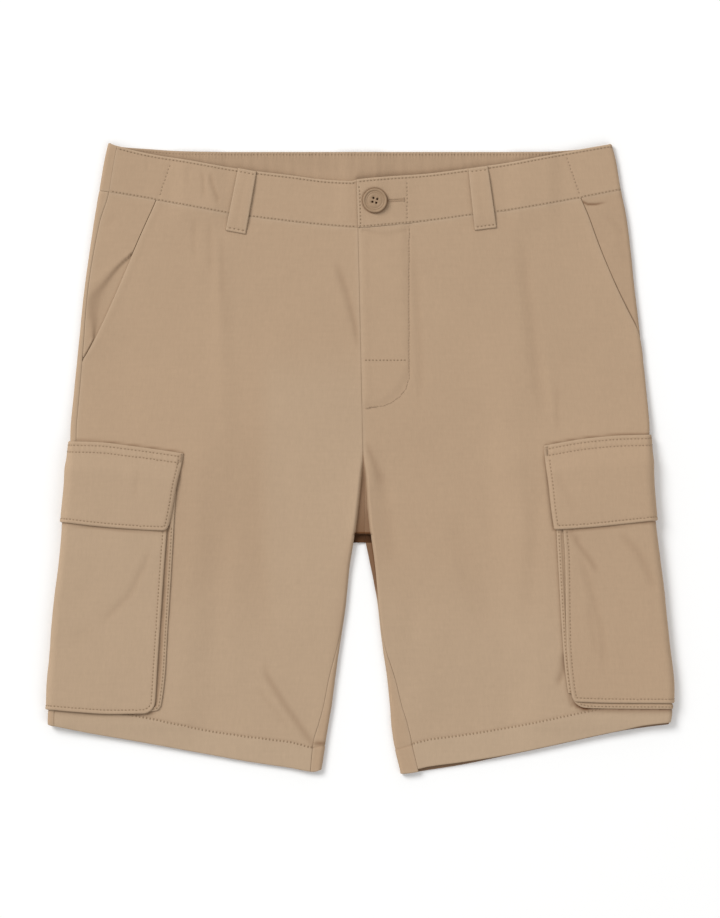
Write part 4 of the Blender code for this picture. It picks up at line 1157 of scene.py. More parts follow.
def back_belt_loop(name, x_middle):
    """A belt loop under the back waistband, which the garment rests on."""
    columns = stations(LOOP_ZONE, 4, LOOP_ZONE)
    rows = stations(LOOP_ZONE, 12, LOOP_ZONE)
    low = WAIST.at("back_seam", x_middle) + BACK_LOOP_INSET
    high = WAIST.at("back_top", x_middle) - BACK_LOOP_INSET

    def point(column, row, depth):
        across = spread(columns, column, -BACK_LOOP_WIDTH / 2, BACK_LOOP_WIDTH / 2)
        y = spread(rows, row, low, high)
        edge = np.minimum.reduce([BACK_LOOP_WIDTH / 2 - np.abs(across), y - low, high - y])
        round_off = -rolled(edge, 0.9, 0.4)
        return x_middle + across, y, np.where(depth > 0, depth - round_off, round_off), across, y, edge

    return lay(f"belt_loop_{name}_back", columns, rows, point, LOOP_CLOTH)


def round_leg(front_zone, back_zone):
    """Stations of a pocket piece round the leg, as kinds and values: 0 a distance from the front edge, 1 a
    share of the front, 2 a place on the side fold, 3 a share underneath, 4 a distance from the back edge."""
    front, behind = ([step / count for step in range(1, count)] for count in (80, 16))
    parts = (front_zone, front, list(np.linspace(TURN, -TURN, 15)), behind, back_zone[::-1])
    kinds = [kind for kind, part in enumerate(parts) for _ in part]
    return np.array(kinds), np.array(sum(parts, []), float), front_zone[-1], back_zone[-1]


def round_place(marks, column, front, back):
    kinds, values, first, last = marks
    kind, value = kinds[column], values[column]
    start, end = front - first, -back + last
    place = np.where(kind == 0, front - value, np.where(kind == 2, value, -back + value))
    place = np.where(kind == 1, start + (TURN - start) * value, place)
    return np.where(kind == 3, -TURN + (end + TURN) * value, place)


def from_corner(beside, above, radius):
    """Distance to the edge of a piece whose lower corner is rounded."""
    in_corner = (beside < radius) & (above < radius)
    round_off = radius - np.hypot(radius - beside, radius - above)
    return np.where(in_corner, round_off, np.minimum(beside, above))


SETTLE_STEPS = 6


def settle_both(place_at, height_at, y):
    """A pocket point's places along the cloth and up the leg, each of which depends on the other."""
    for _ in range(SETTLE_STEPS):
        place = place_at(y)
        y = height_at(place)
    return place, y


def pocket_grid(part, side, marks, rows, column, row):
    """Where the points of a pocket's face or flap lie, and how far from its sides and its edges."""
    reach, radius = BACK_REACH[part], CORNERS[part][side]
    lowered = POCKET_TOP_BELOW if part == "pocket" else 0

    def height_at(place):
        low = low_edge(part, side, place)
        drop = rolled(front_edge(part, side, low) - place, radius, radius)
        drop += rolled(place + reach, radius, radius)
        return spread(rows, row, level_edge("flap_top", side, place) - lowered, low - drop)

    def place_at(y):
        return round_place(marks, column, front_edge(part, side, y), reach)

    middle = POCKET_MIDDLE if part == "pocket" else 0
    place, y = settle_both(place_at, height_at, np.full(column.shape, middle))
    beside = np.minimum(front_edge(part, side, y) - place, place + reach)
    return place, y, beside, from_corner(beside, y - low_edge(part, side, place), radius)


def on_top(place):
    """1 on the front, fading to 0 on the side fold."""
    return smooth((place + 9) / 6)


def cargo_pocket(side):
    """The pocket's face, wrapped round the side fold from the front to the underside."""
    marks = round_leg(EDGE, EDGE)
    rows = stations([0, 1], 70, EDGE)

    def point(column, row, depth):
        place, y, _, edge = pocket_grid("pocket", side, marks, rows, column, row)
        flat = on_top(place)
        fold, painted_shade = folds(POCKET_FOLDS, at_side(side, place, y)[0], y)
        relief = unevenness(place, y, 10 + SIDES[side]) + fold * flat
        relief += padded_edge(edge, EDGE_ROW, 0.14)
        relief = (relief + sunk(edge - EDGE_ROW, place + y, 0.2)) * flat + rolled(edge, 1.2, 0.8)
        out = POCKET_OUT + wall(relief, depth, POCKET_CLOTH)
        painted_shade += row_shade(edge - EDGE_ROW, 0.12)
        # Painted shadow on the face under the flap's lower edge
        painted_shade += 0.9 * bell(np.maximum(low_edge("flap", side, place) - y, 0) / 1.5)
        pale = FACE_PALER[side] * flat
        return (*at_side(side, place, y, out), place, y, made_paler(edge, pale), painted_shade * flat)

    return lay(f"cargo_pocket_face_{side}", marks, rows, point, POCKET_CLOTH)


def cargo_flap(side):
    """The flap over the pocket, sewn to the leg along its top edge."""
    marks = round_leg(EDGE, EDGE)
    rows = stations(FLAP_TOP_ZONE, 28, EDGE)

    def point(column, row, depth):
        place, y, beside, edge = pocket_grid("flap", side, marks, rows, column, row)
        below = level_edge("flap_top", side, place) - y
        flat = on_top(place)
        fold, painted_shade = folds(FLAP_FOLDS, at_side(side, place, y)[0], y)
        relief = unevenness(place, y, 12 + SIDES[side]) + fold
        beat = np.cos(2 * math.pi * (place + 0.7 * ripple(place, y, 11, 2)) / FLAP_PUCKER)
        relief += 0.11 * beat * smooth((below - 1.5) / 2) * smooth((13 - below) / 4)
        relief += padded_edge(edge, EDGE_ROW, 0.2) + sunk(edge - EDGE_ROW, place + y, 0.18)
        painted_shade += row_shade(edge - EDGE_ROW, 0.14)
        for row_below in FLAP_ROWS:
            relief += sunk(below - row_below, place, 0.2)
            painted_shade += row_shade(below - row_below, 0.16)
        relief = relief * flat + rolled(edge, 1.4, 1.05) + rolled(below, 1.3, 0.95)
        over_edge = front_edge("flap", side, y) - front_edge("gusset", side, y)
        droop = (1.3 + 1.3 * smooth((over_edge - 2) / 6)) * bell(np.maximum(beside, 0) / 2.5)
        level = np.maximum(FLAP_STACK.at("out", below) - droop * flat, FLAP_CLOTH + GAP)
        out = level + wall(relief, depth, FLAP_CLOTH)
        pale = FLAP_PALER[side] * flat
        return (*at_side(side, place, y, out), place, y, made_paler(np.minimum(edge, below), pale), painted_shade * flat)

    return lay(f"cargo_pocket_flap_{side}", marks, rows, point, FLAP_CLOTH)


def cargo_gusset(side):
    """The pocket's folded side strip, down the front edge, along the bottom and up the back edge."""
    down = 60
    turn = round_leg([0], [0])
    bottom = len(turn[0]) - 1
    count = 2 * down + bottom
    widths = [13, 11, 9, 7.6, 6.6, 5.8, 5.1, 4.5, 3.9, 3.3, 2.7, 2.1, 1.6, 1.1, 0.7, 0.35, 0.14, 0]

    def point(column, row, depth):
        inset = np.take(widths, row)
        before, after = column < down, column > down + bottom
        share = np.where(before, column / down, np.where(after, (count - column) / down, 1))
        on_bottom = np.clip(column - down, 0, bottom)

        def place_at(y):
            front, back = front_edge("gusset", side, y) - inset, BACK_REACH["gusset"] - inset
            return np.where(before, front, np.where(after, -back, round_place(turn, on_bottom, front, back)))

        def height_at(place):
            top = level_edge("flap_top", side, place) - POCKET_TOP_BELOW
            low = low_edge("gusset", side, place) + inset
            beside = np.minimum(front_edge("gusset", side, low) - place, place + BACK_REACH["gusset"])
            radius = np.maximum(CORNERS["gusset"][side] - inset, 0.5)
            low = low - rolled(beside - inset, radius, radius)
            return top + (low - top) * share

        place, y = settle_both(place_at, height_at, np.full(column.shape, POCKET_MIDDLE))
        flat = on_top(place)
        relief = 0.14 * ripple(place + y, inset, 22, 9) + 0.35 * bell((inset - 2.2) / 1.2)
        relief += sunk(inset - GUSSET_ROW, place + y, 0.25) - 0.55 * smooth((inset - 3.2) / 1.4)
        relief = relief * flat + rolled(inset, 1.2, 0.6)
        painted_shade = smooth((inset - 2.6) / 1.4) * flat * GUSSET_SHADE[side]
        out = GUSSET_OUT + wall(relief, depth, POCKET_CLOTH)
        return (*at_side(side, place, y, out), place + inset, y, inset, painted_shade)

    return lay(f"cargo_pocket_gusset_{side}", count, len(widths) - 1, point, POCKET_CLOTH)


# The button's half section from its middle over its face to its back, as (radius, height)
BUTTON_SECTION = [
    (0, 1.15), (4.8, 1.17), (5.9, 1.25), (6.3, 0.95), (6.7, 0.95), (7.1, 1.35), (7.5, 1.42),
    (7.85, 1.1), (8.2, 1.1), (8.5, 1.65), (8.9, 2), (9.5, 2.1), (9.95, 1.95), (10.3, 1.3),
    (10.2, 0.7), (9.5, 0.3), (7.5, 0), (0, 0),
]
BUTTON_TURNS = 72


def button_piece():
    """A four-hole button with a raised rim and two ring grooves, turned, softened and drilled."""
    x, y = BUTTON_AT
    seat = float(band_over("left", x, y)) + GAP
    hole = settings().button.hole / 2
    work = bmesh.new()
    corners = [work.verts.new((radius * MM, 0, height * MM)) for radius, height in BUTTON_SECTION]
    edges = [work.edges.new(pair) for pair in zip(corners, corners[1:])]
    bmesh.ops.spin(
        work, geom=corners + edges, axis=(0, 0, 1), cent=(0, 0, 0), steps=BUTTON_TURNS, angle=2 * math.pi,
        use_merge=True,
    )
    bmesh.ops.remove_doubles(work, verts=work.verts[:], dist=0.00001)
    bmesh.ops.recalc_face_normals(work, faces=work.faces[:])
    bmesh.ops.translate(work, verts=work.verts[:], vec=(x * MM, y * MM, seat * MM))
    plastic = finish_of("button plastic")
    spare = [new_piece("button_blank", to_mesh(work, "button_blank"), plastic)]
    for index in range(4):
        angle = math.radians(BUTTON_TURN + 90 * index)
        across, up = BUTTON_HOLE_OFFSET * math.cos(angle), BUTTON_HOLE_OFFSET * math.sin(angle)
        place = Matrix.Translation(((x + across) * MM, (y + up) * MM, seat * MM))
        work = bmesh.new()
        bmesh.ops.create_cone(
            work, cap_ends=True, segments=20, radius1=hole, radius2=hole, depth=8 * MM, matrix=place
        )
        spare.append(new_piece(f"drill_{index}", to_mesh(work, f"drill_{index}"), plastic))
        cut = spare[0].modifiers.new(f"hole_{index}", "BOOLEAN")
        cut.operation = "DIFFERENCE"
        cut.object = spare[-1]
    drilled = bpy.data.meshes.new_from_object(spare[0].evaluated_get(bpy.context.evaluated_depsgraph_get()))
    drilled.name = "turned_button"
    drilled.shade_smooth()
    for piece in spare:
        bpy.data.objects.remove(piece)
    return new_piece("turned_button", drilled)


# How high a stitch stands, and the width and height of a satin stitch's thread, in metres
THREAD_HEIGHT = 0.0006
SATIN_THREAD = (0.0006, 0.00055)

# Running stitches, as shares of the usual length and width
HEM_STITCH = (0.8, 1.5)
FLY_STITCH = (1.6, 0.5)
POCKET_STITCH = (1, 0.8)
FLAP_STITCH = (1, 0.85)

# Satin stitches, as their width and their pitch
BACK_STITCH = (1.5, PULL_PITCH)
FLY_BAR = (1.7, 0.6)
FLAP_BAR = (2.4, 0.6)
LIP_STITCH = (BUTTONHOLE_WIDTH / 2 - 0.4, 0.9)
LIP_BAR = (1.6, 0.45)


def seat_on(piece):
    """The surface of a finished piece, for laying stitches on it."""
    work = bmesh.new()
    work.from_mesh(piece.data)
    tree = BVHTree.FromBMesh(work)
    work.free()
    return tree


def walk(line, pitch):
    """Places and directions at even steps along a line of points."""
    line = np.asarray(line, float)
    steps = np.linalg.norm(np.diff(line, axis=0), axis=1)
    total = np.concatenate([[0], np.cumsum(steps)])
    count = max(1, int(total[-1] / pitch))
    at = (np.arange(count) + 0.5) * total[-1] / count
    places, ahead, behind = (
        np.stack([np.interp(at + shift, total, axis) for axis in line.T], axis=1)
        for shift in (0, 0.3, -0.3)
    )
    return places, ahead - behind


def stitch_at(seat, place, heading, length, width, thread):
    """One stitch as a matrix: its long side along the heading, its flat side on the cloth."""
    location, normal = seat.find_nearest(Vector(place) * MM)[:2]
    along = Vector(heading)
    along = (along - along.dot(normal) * normal).normalized()
    across = normal.cross(along)
    matrix = Matrix((along * length / 2, across * width / 2, normal * thread / 2)).transposed().to_4x4()
    matrix.translation = location + normal * thread * 0.1
    return matrix


def running(seat, lines, longer=1, wider=1):
    """Rows of running stitches along lines of points."""
    thread = settings().thread
    size = (thread.length * longer, thread.width * wider, THREAD_HEIGHT)
    stitches = []
    for line in lines:
        stitches += [stitch_at(seat, p, h, *size) for p, h in zip(*walk(line, thread.pitch / MM))]
    return stitches


def satin(seat, line, width, pitch):
    """Close cross stitches along a line, as in a bar tack or round a buttonhole."""
    size = (width * MM, *SATIN_THREAD)
    return [stitch_at(seat, p, (-h[1], h[0], 0), *size) for p, h in zip(*walk(line, pitch))]


def as_line(point):
    """x, y and z as a line of points."""
    return np.stack(np.broadcast_arrays(*point), axis=1)


def flat_line(side, points, top=over):
    """A line over the front, from points in x and y."""
    x, y = walk(points, 2)[0].T
    return as_line((x, y, top(side, x, y) + LINE_LIFT))


def level_line(point_at, level_at, places):
    """A line at a height that depends on x, from places along the cloth."""
    y = level_at(np.zeros(len(places)))
    for _ in range(SETTLE_STEPS):
        y = level_at(point_at(places, y)[0])
    return as_line(point_at(places, y))


def waistband_line(side, level_at):
    def point_at(place, y):
        return at_side(side, place, y, ROW_LIFT, band_over)

    first = float(SIDE_SEAM.at(side, WAISTBAND_MIDDLE)) + 2
    last = float(side_place(side, BAND_ROW_END[side], float(level_at(BAND_ROW_END[side]))))
    return level_line(point_at, level_at, np.linspace(first, last, 90))


def hem_line(side):
    def point_at(place, y):
        return on_leg(side, place, y, ROW_LIFT, np.full(place.shape, True))

    first, last = front_edges(side, HEM.at("front", SIDES[side] * 150) + 22, True)
    places = np.linspace(float(first) + 1, float(last) - 1, 120)
    return level_line(point_at, lambda x: HEM.at("front", x) + HEM_ABOVE.at("row", x), places)


def part_line(part, side, place, y):
    """A line on a part of the cargo pocket, which stands off the leg by the layers under it."""
    if part == "flap":
        out = FLAP_STACK.at("out", level_edge("flap_top", side, place) - y)
    else:
        out = POCKET_OUT if part == "pocket" else GUSSET_OUT
    return as_line(at_side(side, place, y, out + 1))


def corner_line(part, side, top, inset):
    """A line inside a pocket part's front and lower edges, round its corner, to the side fold."""
    radius = CORNERS[part][side]
    reach = max(radius, inset)
    corner = float(front_edge(part, side, low_edge(part, side, 60)))
    low = float(low_edge(part, side, corner))
    line = [(float(front_edge(part, side, y)) - inset, y) for y in np.linspace(top, low + reach, 30)]
    if radius > inset:
        for angle in np.linspace(0.2, math.pi / 2 - 0.1, 5):
            across, down = (radius - inset) * math.cos(angle), (radius - inset) * math.sin(angle)
            line.append((corner - radius + across, low + radius - down))
    for place in np.linspace(corner - reach, -2, 36):
        line.append((place, float(low_edge(part, side, place)) + inset))
    return part_line(part, side, *np.array(line).T)


def flap_lines(side):
    """The flap's stitched lines: round its edge, and two below its top."""
    lines = [corner_line("flap", side, 0, EDGE_ROW)]
    place = np.linspace(float(front_edge("flap", side, 5)) - 2.6, -2, 70)
    for below in FLAP_ROWS:
        lines.append(part_line("flap", side, place, level_edge("flap_top", side, place) - below))
    return lines


def flap_tack(side):
    """The bar tack at the flap's upper corner."""
    top = float(level_edge("flap_top", side, 85))
    y = np.linspace(top - 2.2, top - 9.8, 6)
    return part_line("flap", side, front_edge("flap", side, y) - 1.9, y)


def loop_lines(side):
    """The lines across a belt loop's two ends."""
    length = loop_size(side, 0)[0]
    lines = []
    for down in (LOOP_ROW, length - LOOP_ROW):
        half = loop_size(side, down)[1] - 1.2
        x, y, z = loop_surface(side, down / length, np.linspace(-half, half, 8))
        lines.append(as_line((x, y, z + 0.8)))
    return lines


# Finishes

FLOAT, VECTOR, COLOUR = "NodeSocketFloat", "NodeSocketVector", "NodeSocketColor"


class Wiring:
    """Short calls for putting nodes in a tree and joining them."""

    def __init__(self, tree):
        self.tree = tree

    def node(self, kind, inputs=None, **values):
        """A new node with its settings, its inputs set to numbers or joined to other nodes' outputs."""
        made = self.tree.nodes.new(kind)
        for key, value in values.items():
            setattr(made, key, value)
        for key, value in (inputs or {}).items():
            self.join(value, made.inputs[key])
        return made

    def join(self, source, target):
        if isinstance(source, (int, float, tuple)):
            target.default_value = source
        else:
            self.tree.links.new(source, target)

    def sum(self, operation, *terms):
        return self.node("ShaderNodeMath", dict(enumerate(terms)), operation=operation).outputs[0]

    def waves(self, value):
        """Even waves from 0 to 1, one for each whole step of the value."""
        turned = self.sum("SINE", self.sum("MULTIPLY", value, 2 * math.pi))
        return self.sum("MULTIPLY_ADD", turned, 0.5, 0.5)

    def noise(self, vector, scale, detail=2, roughness=0.5):
        inputs = {"Vector": vector, "Scale": scale, "Detail": detail, "Roughness": roughness}
        return self.node("ShaderNodeTexNoise", inputs).outputs[0]

    def place(self):
        return self.node("ShaderNodeTexCoord").outputs["Object"]

    def tone(self, colour, **given):
        """A colour with the cloth's changes of tone, and the tone group's other inputs as they are given."""
        inputs = {"Place": self.place(), "Colour": (*colour, 1), **given}
        return self.node("ShaderNodeGroup", inputs, node_tree=tone_group()).outputs[0]

    def bump(self, height, strength, distance):
        inputs = {"Strength": strength, "Distance": distance, "Height": height}
        return self.node("ShaderNodeBump", inputs).outputs[0]


def new_group(name, inputs, outputs):
    """A new node group: its net, the sockets that it is given and the sockets that it fills."""
    group = bpy.data.node_groups.new(name, "ShaderNodeTree")
    for label, (kind, value) in inputs.items():
        socket = group.interface.new_socket(label, in_out="INPUT", socket_type=kind)
        if value is not None:
            socket.default_value = value
    for label in outputs:
        group.interface.new_socket(label, in_out="OUTPUT", socket_type=outputs[label])
    net = Wiring(group)
    return net, net.node("NodeGroupInput").outputs, net.node("NodeGroupOutput").inputs


# The weave: how far the ribs drift, how steeply the ribs and the yarns that cross them run, the yarns' pitch
# as a share of the rib's, and the fineness of the drift, of the yarn's thick places and of its streaks
RIB_DRIFT = 0.0006
RIB_SLOPE = 0.55
YARN_SLOPE = 0.2
YARN_PITCH = 0.8
DRIFT_SCALE, SLUB_SCALE, STREAK_SCALE = 160, 1400, 420


def twill_group():
    """The twill's diagonal ribs and the yarns that cross them, from the cloth's own coordinates."""
    if "Twill weave" in bpy.data.node_groups:
        return bpy.data.node_groups["Twill weave"]
    inputs = {"Cloth": (VECTOR, None), "Rib": (FLOAT, 0.0006)}
    net, given, result = new_group("Twill weave", inputs, {"Height": FLOAT, "Shade": FLOAT})
    cloth, rib = given["Cloth"], given["Rib"]
    split = net.node("ShaderNodeSeparateXYZ", {0: cloth}).outputs
    u, v = split[0], split[1]
    drift = net.sum("MULTIPLY", net.noise(cloth, DRIFT_SCALE), RIB_DRIFT)
    diagonal = net.sum("ADD", net.sum("ADD", u, drift), net.sum("MULTIPLY", v, RIB_SLOPE))
    ribs = net.waves(net.sum("DIVIDE", diagonal, rib))
    yarns = net.sum("SUBTRACT", v, net.sum("MULTIPLY", u, YARN_SLOPE))
    yarns = net.waves(net.sum("DIVIDE", yarns, net.sum("MULTIPLY", rib, YARN_PITCH)))
    height = net.sum("MULTIPLY", ribs, net.sum("MULTIPLY_ADD", yarns, 0.35, 0.65))
    long, wide = (
        net.node("ShaderNodeMapping", {"Vector": cloth, "Scale": scale}).outputs[0]
        for scale in ((1, 0.12, 1), (0.1, 1, 1))
    )
    slub = net.noise(long, SLUB_SCALE, 1)
    streaky = net.sum("ADD", *(net.noise(way, STREAK_SCALE, 1) for way in (long, wide)))
    shade = net.sum("MULTIPLY_ADD", net.sum("SUBTRACT", height, 0.4), 0.1, 1)
    shade = net.sum("MULTIPLY_ADD", net.sum("SUBTRACT", slub, 0.5), 0.1, shade)
    shade = net.sum("MULTIPLY_ADD", net.sum("SUBTRACT", streaky, 1), 0.05, shade)
    net.join(net.sum("MULTIPLY_ADD", slub, 0.35, height), result["Height"])
    net.join(shade, result["Shade"])
    return net.tree


# What the cloth's colour is multiplied by under painted shade and on a paler edge, and how fine its changes
# are
PAINTED_SHADE_TINT = (0.31, 0.185, 0.105)
PALE_TINT = (1.12, 1.25, 1.36)
BROAD_SCALE, FINE_SCALE = 9, 260


def tone_group():
    """Soft changes of tone over the cloth, paler edges (partly wear, partly painted highlight and light), and
    painted shade.
    """
    if "Cloth tone" in bpy.data.node_groups:
        return bpy.data.node_groups["Cloth tone"]
    inputs = {"Place": (VECTOR, None), "Colour": (COLOUR, (0.5, 0.4, 0.3, 1))}
    for label, value in (("Shade", 1), ("Edge", 0), ("Amount", 0.08), ("Wear", 0.1), ("Painted_shade", 0),
                         ("Painted_shade_strength", 0.5)):
        inputs[label] = (FLOAT, value)
    net, given, result = new_group("Cloth tone", inputs, {"Colour": COLOUR})
    colour = given["Colour"]
    broad, fine = (
        net.sum("SUBTRACT", net.noise(given["Place"], scale, 3), 0.5) for scale in (BROAD_SCALE, FINE_SCALE)
    )
    change = net.sum("ADD", broad, net.sum("MULTIPLY", fine, 0.5))
    bright = net.sum("MULTIPLY_ADD", change, given["Amount"], given["Shade"])
    painted_shade_colour, paler = (
        net.node("ShaderNodeVectorMath", {0: colour, 1: factor}, operation="MULTIPLY").outputs[0]
        for factor in (PAINTED_SHADE_TINT, PALE_TINT)
    )
    worn_and_lit = net.sum("MULTIPLY", given["Edge"], given["Wear"])
    worn_and_lit = net.node("ShaderNodeMix", {0: worn_and_lit, 4: colour, 5: paler}, data_type="VECTOR").outputs[1]
    # How much painted shade darkens the colour; past 1 it also darkens the brightness
    depth = net.sum("MULTIPLY", given["Painted_shade"], given["Painted_shade_strength"])
    beyond = net.sum("MAXIMUM", net.sum("SUBTRACT", depth, 1), 0)
    bright = net.sum("MULTIPLY", bright, net.sum("SUBTRACT", 1, beyond))
    mixed = net.node("ShaderNodeMix", {0: depth, 4: worn_and_lit, 5: painted_shade_colour}, data_type="VECTOR").outputs[1]
    scaled = net.node("ShaderNodeVectorMath", {0: mixed, "Scale": bright}, operation="SCALE")
    net.join(scaled.outputs[0], result["Colour"])
    return net.tree


def plain_material(name, sheen=None, *, roughness, specular):
    """A new material with its uniform numbers set on the shader, the shader's sockets and its net."""
    made = bpy.data.materials.new(name)
    made.use_nodes = True
    shader = made.node_tree.nodes["Principled BSDF"].inputs
    for label, value in {"Roughness": roughness, "Specular IOR Level": specular, **(sheen or {})}.items():
        shader[label].default_value = value
    return made, shader, Wiring(made.node_tree)


def cloth_material(name, cloth):
    """Cotton twill: its ribs, its tone, a faint sheen, edges made paler (partly wear, partly painted
    highlight) and painted shade.
    """
    sheen = {"Sheen Weight": 0.12, "Sheen Roughness": 0.45, "Sheen Tint": (0.9, 0.62, 0.38, 1)}
    made, shader, net = plain_material(name, sheen, roughness=0.86, specular=0.18)
    weave = net.node("ShaderNodeUVMap", uv_map="weave").outputs[0]
    inputs = {"Cloth": weave, "Rib": cloth.rib}
    twill = net.node("ShaderNodeGroup", inputs, node_tree=twill_group()).outputs
    given = {"Shade": twill["Shade"], "Amount": cloth.variation, "Wear": cloth.wear_and_light}
    for label in ("Edge", "Painted_shade"):
        given[label] = net.node("ShaderNodeAttribute", attribute_name=label.lower()).outputs["Fac"]
    net.join(net.tone(cloth.colour, **given), shader["Base Color"])
    net.join(net.bump(twill["Height"], 0.5, cloth.rib * 0.16), shader["Normal"])
    return made


def thread_material(name, colour):
    """Twisted cotton thread, darker than the cloth: partly its own tone, partly painted shade of the needle
    holes.
    """
    made, shader, net = plain_material(name, {"Sheen Weight": 0.1}, roughness=0.7, specular=0.25)
    net.join(net.tone(colour, Amount=0.3, Wear=0), shader["Base Color"])
    inputs = {"Vector": net.place(), "Scale": 900}
    twist = net.node("ShaderNodeTexWave", inputs, bands_direction="DIAGONAL").outputs["Fac"]
    net.join(net.bump(twist, 0.3, 0.00006), shader["Normal"])
    return made


def button_material(name, colour):
    """Moulded button plastic with a clouded, faintly marbled tone and a satin face."""
    made, shader, net = plain_material(name, roughness=0.5, specular=0.25)
    place = net.place()
    cloud = net.sum("SUBTRACT", net.noise(place, 210, 4, 0.6), 0.5)
    shade = net.sum("MULTIPLY_ADD", cloud, 0.35, 1)
    net.join(net.tone(colour, Amount=0.25, Wear=0, Shade=shade), shader["Base Color"])
    net.join(net.sum("MULTIPLY_ADD", net.noise(place, 900), 0.2, 0.44), shader["Roughness"])
    return made


def finish_of(name):
    """The finish of that name, made the first time that it is asked for."""
    if name in bpy.data.materials:
        return bpy.data.materials[name]
    look = settings()
    if name == "button plastic":
        return button_material(name, look.button.colour)
    if name == "cotton twill":
        return cloth_material(name, look.cloth)
    return thread_material(name, look.thread.pale if name == "pale thread" else look.thread.colour)


def sew(piece, node):
    """Puts a cloth piece in its place in the frame: under its body, with the node's own part hidden."""
    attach(piece, "root")
    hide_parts(node)


def stitch(name, stitches, finish="cotton thread"):
    """Puts one group of stitches in the frame: a small rounded bead of thread for each, all in one piece."""
    work = bmesh.new()
    for matrix in stitches:
        bmesh.ops.create_icosphere(work, subdivisions=1, radius=1, matrix=matrix)
    mesh = to_mesh(work, name)
    mesh.shade_smooth()
    piece = new_piece(name, mesh, finish_of(finish))
    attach(piece, "root")
    return piece


# Settings


class ClothSettings(bpy.types.PropertyGroup):
    """The twill's colours, its weave and how evenly it lies."""

    colour: FloatVectorProperty(
        name="Colour", description="The twill's colour", subtype="COLOR", size=3, min=0.0, max=1.0,
        default=(0.44, 0.3075, 0.2005),
    )
    rib: FloatProperty(
        name="Rib", description="Distance from one twill rib to the next", default=0.0006, min=0.0002,
        unit="LENGTH", precision=5,
    )
    variation: FloatProperty(
        name="Variation", description="How much the tone changes over the cloth", default=0.09, min=0.0,
        max=1.0, subtype="FACTOR",
    )
    # Edges are made paler, partly as wear and partly as a painted highlight
    wear_and_light: FloatProperty(
        name="Edge wear", description="How much paler the finished edges are", default=0.36, min=0.0, max=1.0,
        subtype="FACTOR",
    )
    unevenness: FloatProperty(
        name="Unevenness", description="How far the cloth lies off its section", default=0.00022, min=0.0,
        max=0.002, unit="LENGTH", precision=5,
    )
    pucker: FloatProperty(
        name="Pucker", description="Height of the puckers along the stitches", default=0.00014, min=0.0,
        max=0.001, unit="LENGTH", precision=5,
    )
    crease: FloatProperty(
        name="Creases", description="Strength of the fine creases", default=1.0, min=0.0, max=2.0,
        subtype="FACTOR",
    )


class ThreadSettings(bpy.types.PropertyGroup):
    """The sewing thread and its stitches."""

    # Darker than the cloth: partly the thread's own tone, partly painted shade of the needle holes between
    # stitches
    colour: FloatVectorProperty(
        name="Colour", description="The thread's colour", subtype="COLOR", size=3, min=0.0, max=1.0,
        default=(0.325, 0.22, 0.135),
    )
    # The same thread made paler, with less of that painted shade, for dense and faint stitches
    pale: FloatVectorProperty(
        name="Pale thread", description="The thread's colour where it shows less, as in the bar tacks",
        subtype="COLOR", size=3, min=0.0, max=1.0, default=(0.385, 0.268, 0.173),
    )
    pitch: FloatProperty(
        name="Pitch", description="Distance from one stitch to the next", default=0.003, min=0.001, max=0.01,
        unit="LENGTH", precision=4,
    )
    length: FloatProperty(
        name="Length", description="Length of a stitch that shows", default=0.0019, min=0.0005, max=0.008,
        unit="LENGTH", precision=4,
    )
    width: FloatProperty(
        name="Width", description="Thickness of the thread", default=0.0015, min=0.0002, max=0.002,
        unit="LENGTH", precision=5,
    )


class ButtonSettings(bpy.types.PropertyGroup):
    """The button's colour and its holes."""

    colour: FloatVectorProperty(
        name="Colour", description="The button's colour", subtype="COLOR", size=3, min=0.0, max=1.0,
        default=(0.34, 0.228, 0.14),
    )
    hole: FloatProperty(
        name="Hole", description="Width of a thread hole", default=0.0019, min=0.0005, max=0.004,
        unit="LENGTH", precision=4,
    )


class StageSettings(bpy.types.PropertyGroup):
    """The floor, the lights and the camera."""

    floor: FloatVectorProperty(
        name="Floor", description="The floor's colour", subtype="COLOR", size=3, min=0.0, max=1.0,
        default=(0.96, 0.96, 0.955),
    )
    key: FloatProperty(
        name="Key light", description="Power of the large light at the upper left", default=752.0, min=0.0,
        unit="POWER",
    )
    fill: FloatProperty(
        name="Fill light", description="Power of the light on the other side", default=54.0, min=0.0,
        unit="POWER",
    )
    sky: FloatProperty(
        name="Room light", description="Strength of the room's own light", default=0.5, min=0.0,
        subtype="FACTOR",
    )
    distance: FloatProperty(
        name="Camera height", description="Height of the camera over the floor", default=4.0, min=0.5,
        max=20.0, unit="LENGTH",
    )
    view_height: FloatProperty(
        name="View height", description="How much of the floor the view takes in, from top to bottom",
        default=0.7803, min=0.1, max=5.0, unit="LENGTH", precision=4,
    )


class ShortsSettings(bpy.types.PropertyGroup):
    """Everything that a user would change on the shorts."""

    cloth: PointerProperty(type=ClothSettings)
    thread: PointerProperty(type=ThreadSettings)
    button: PointerProperty(type=ButtonSettings)
    stage: PointerProperty(type=StageSettings)


# Operators


class SHORTS_OT_back_panels(bpy.types.Operator):
    """Lay the two back panels, with the folds at the sides and inside the legs"""

    bl_idname = "shorts.back_panels"
    bl_label = "Back panels"

    def execute(self, context):
        for side in SIDES:
            sew(back_leg(side), f"back_leg_{side}")
        return {"FINISHED"}


class SHORTS_OT_front_panels(bpy.types.Operator):
    """Lay the two front panels, with the fly, the hems and their stitches"""

    bl_idname = "shorts.front_panels"
    bl_label = "Front panels"

    def execute(self, context):
        for side in SIDES:
            piece = front_leg(side)
            seat = seat_on(piece)
            stitches = running(seat, [hem_line(side)], *HEM_STITCH)
            if side == "left":
                stitches += running(seat, [flat_line(side, FLY_CROSS)])
                fly = running(seat, [flat_line(side, FLY_ROW)], *FLY_STITCH)
                fly += satin(seat, flat_line(side, FLY_TACK), *FLY_BAR)
                stitch("stitches_fly", fly, "pale thread")
            stitch(f"stitches_front_{side}", stitches)
            sew(piece, f"front_leg_{side}")
        return {"FINISHED"}


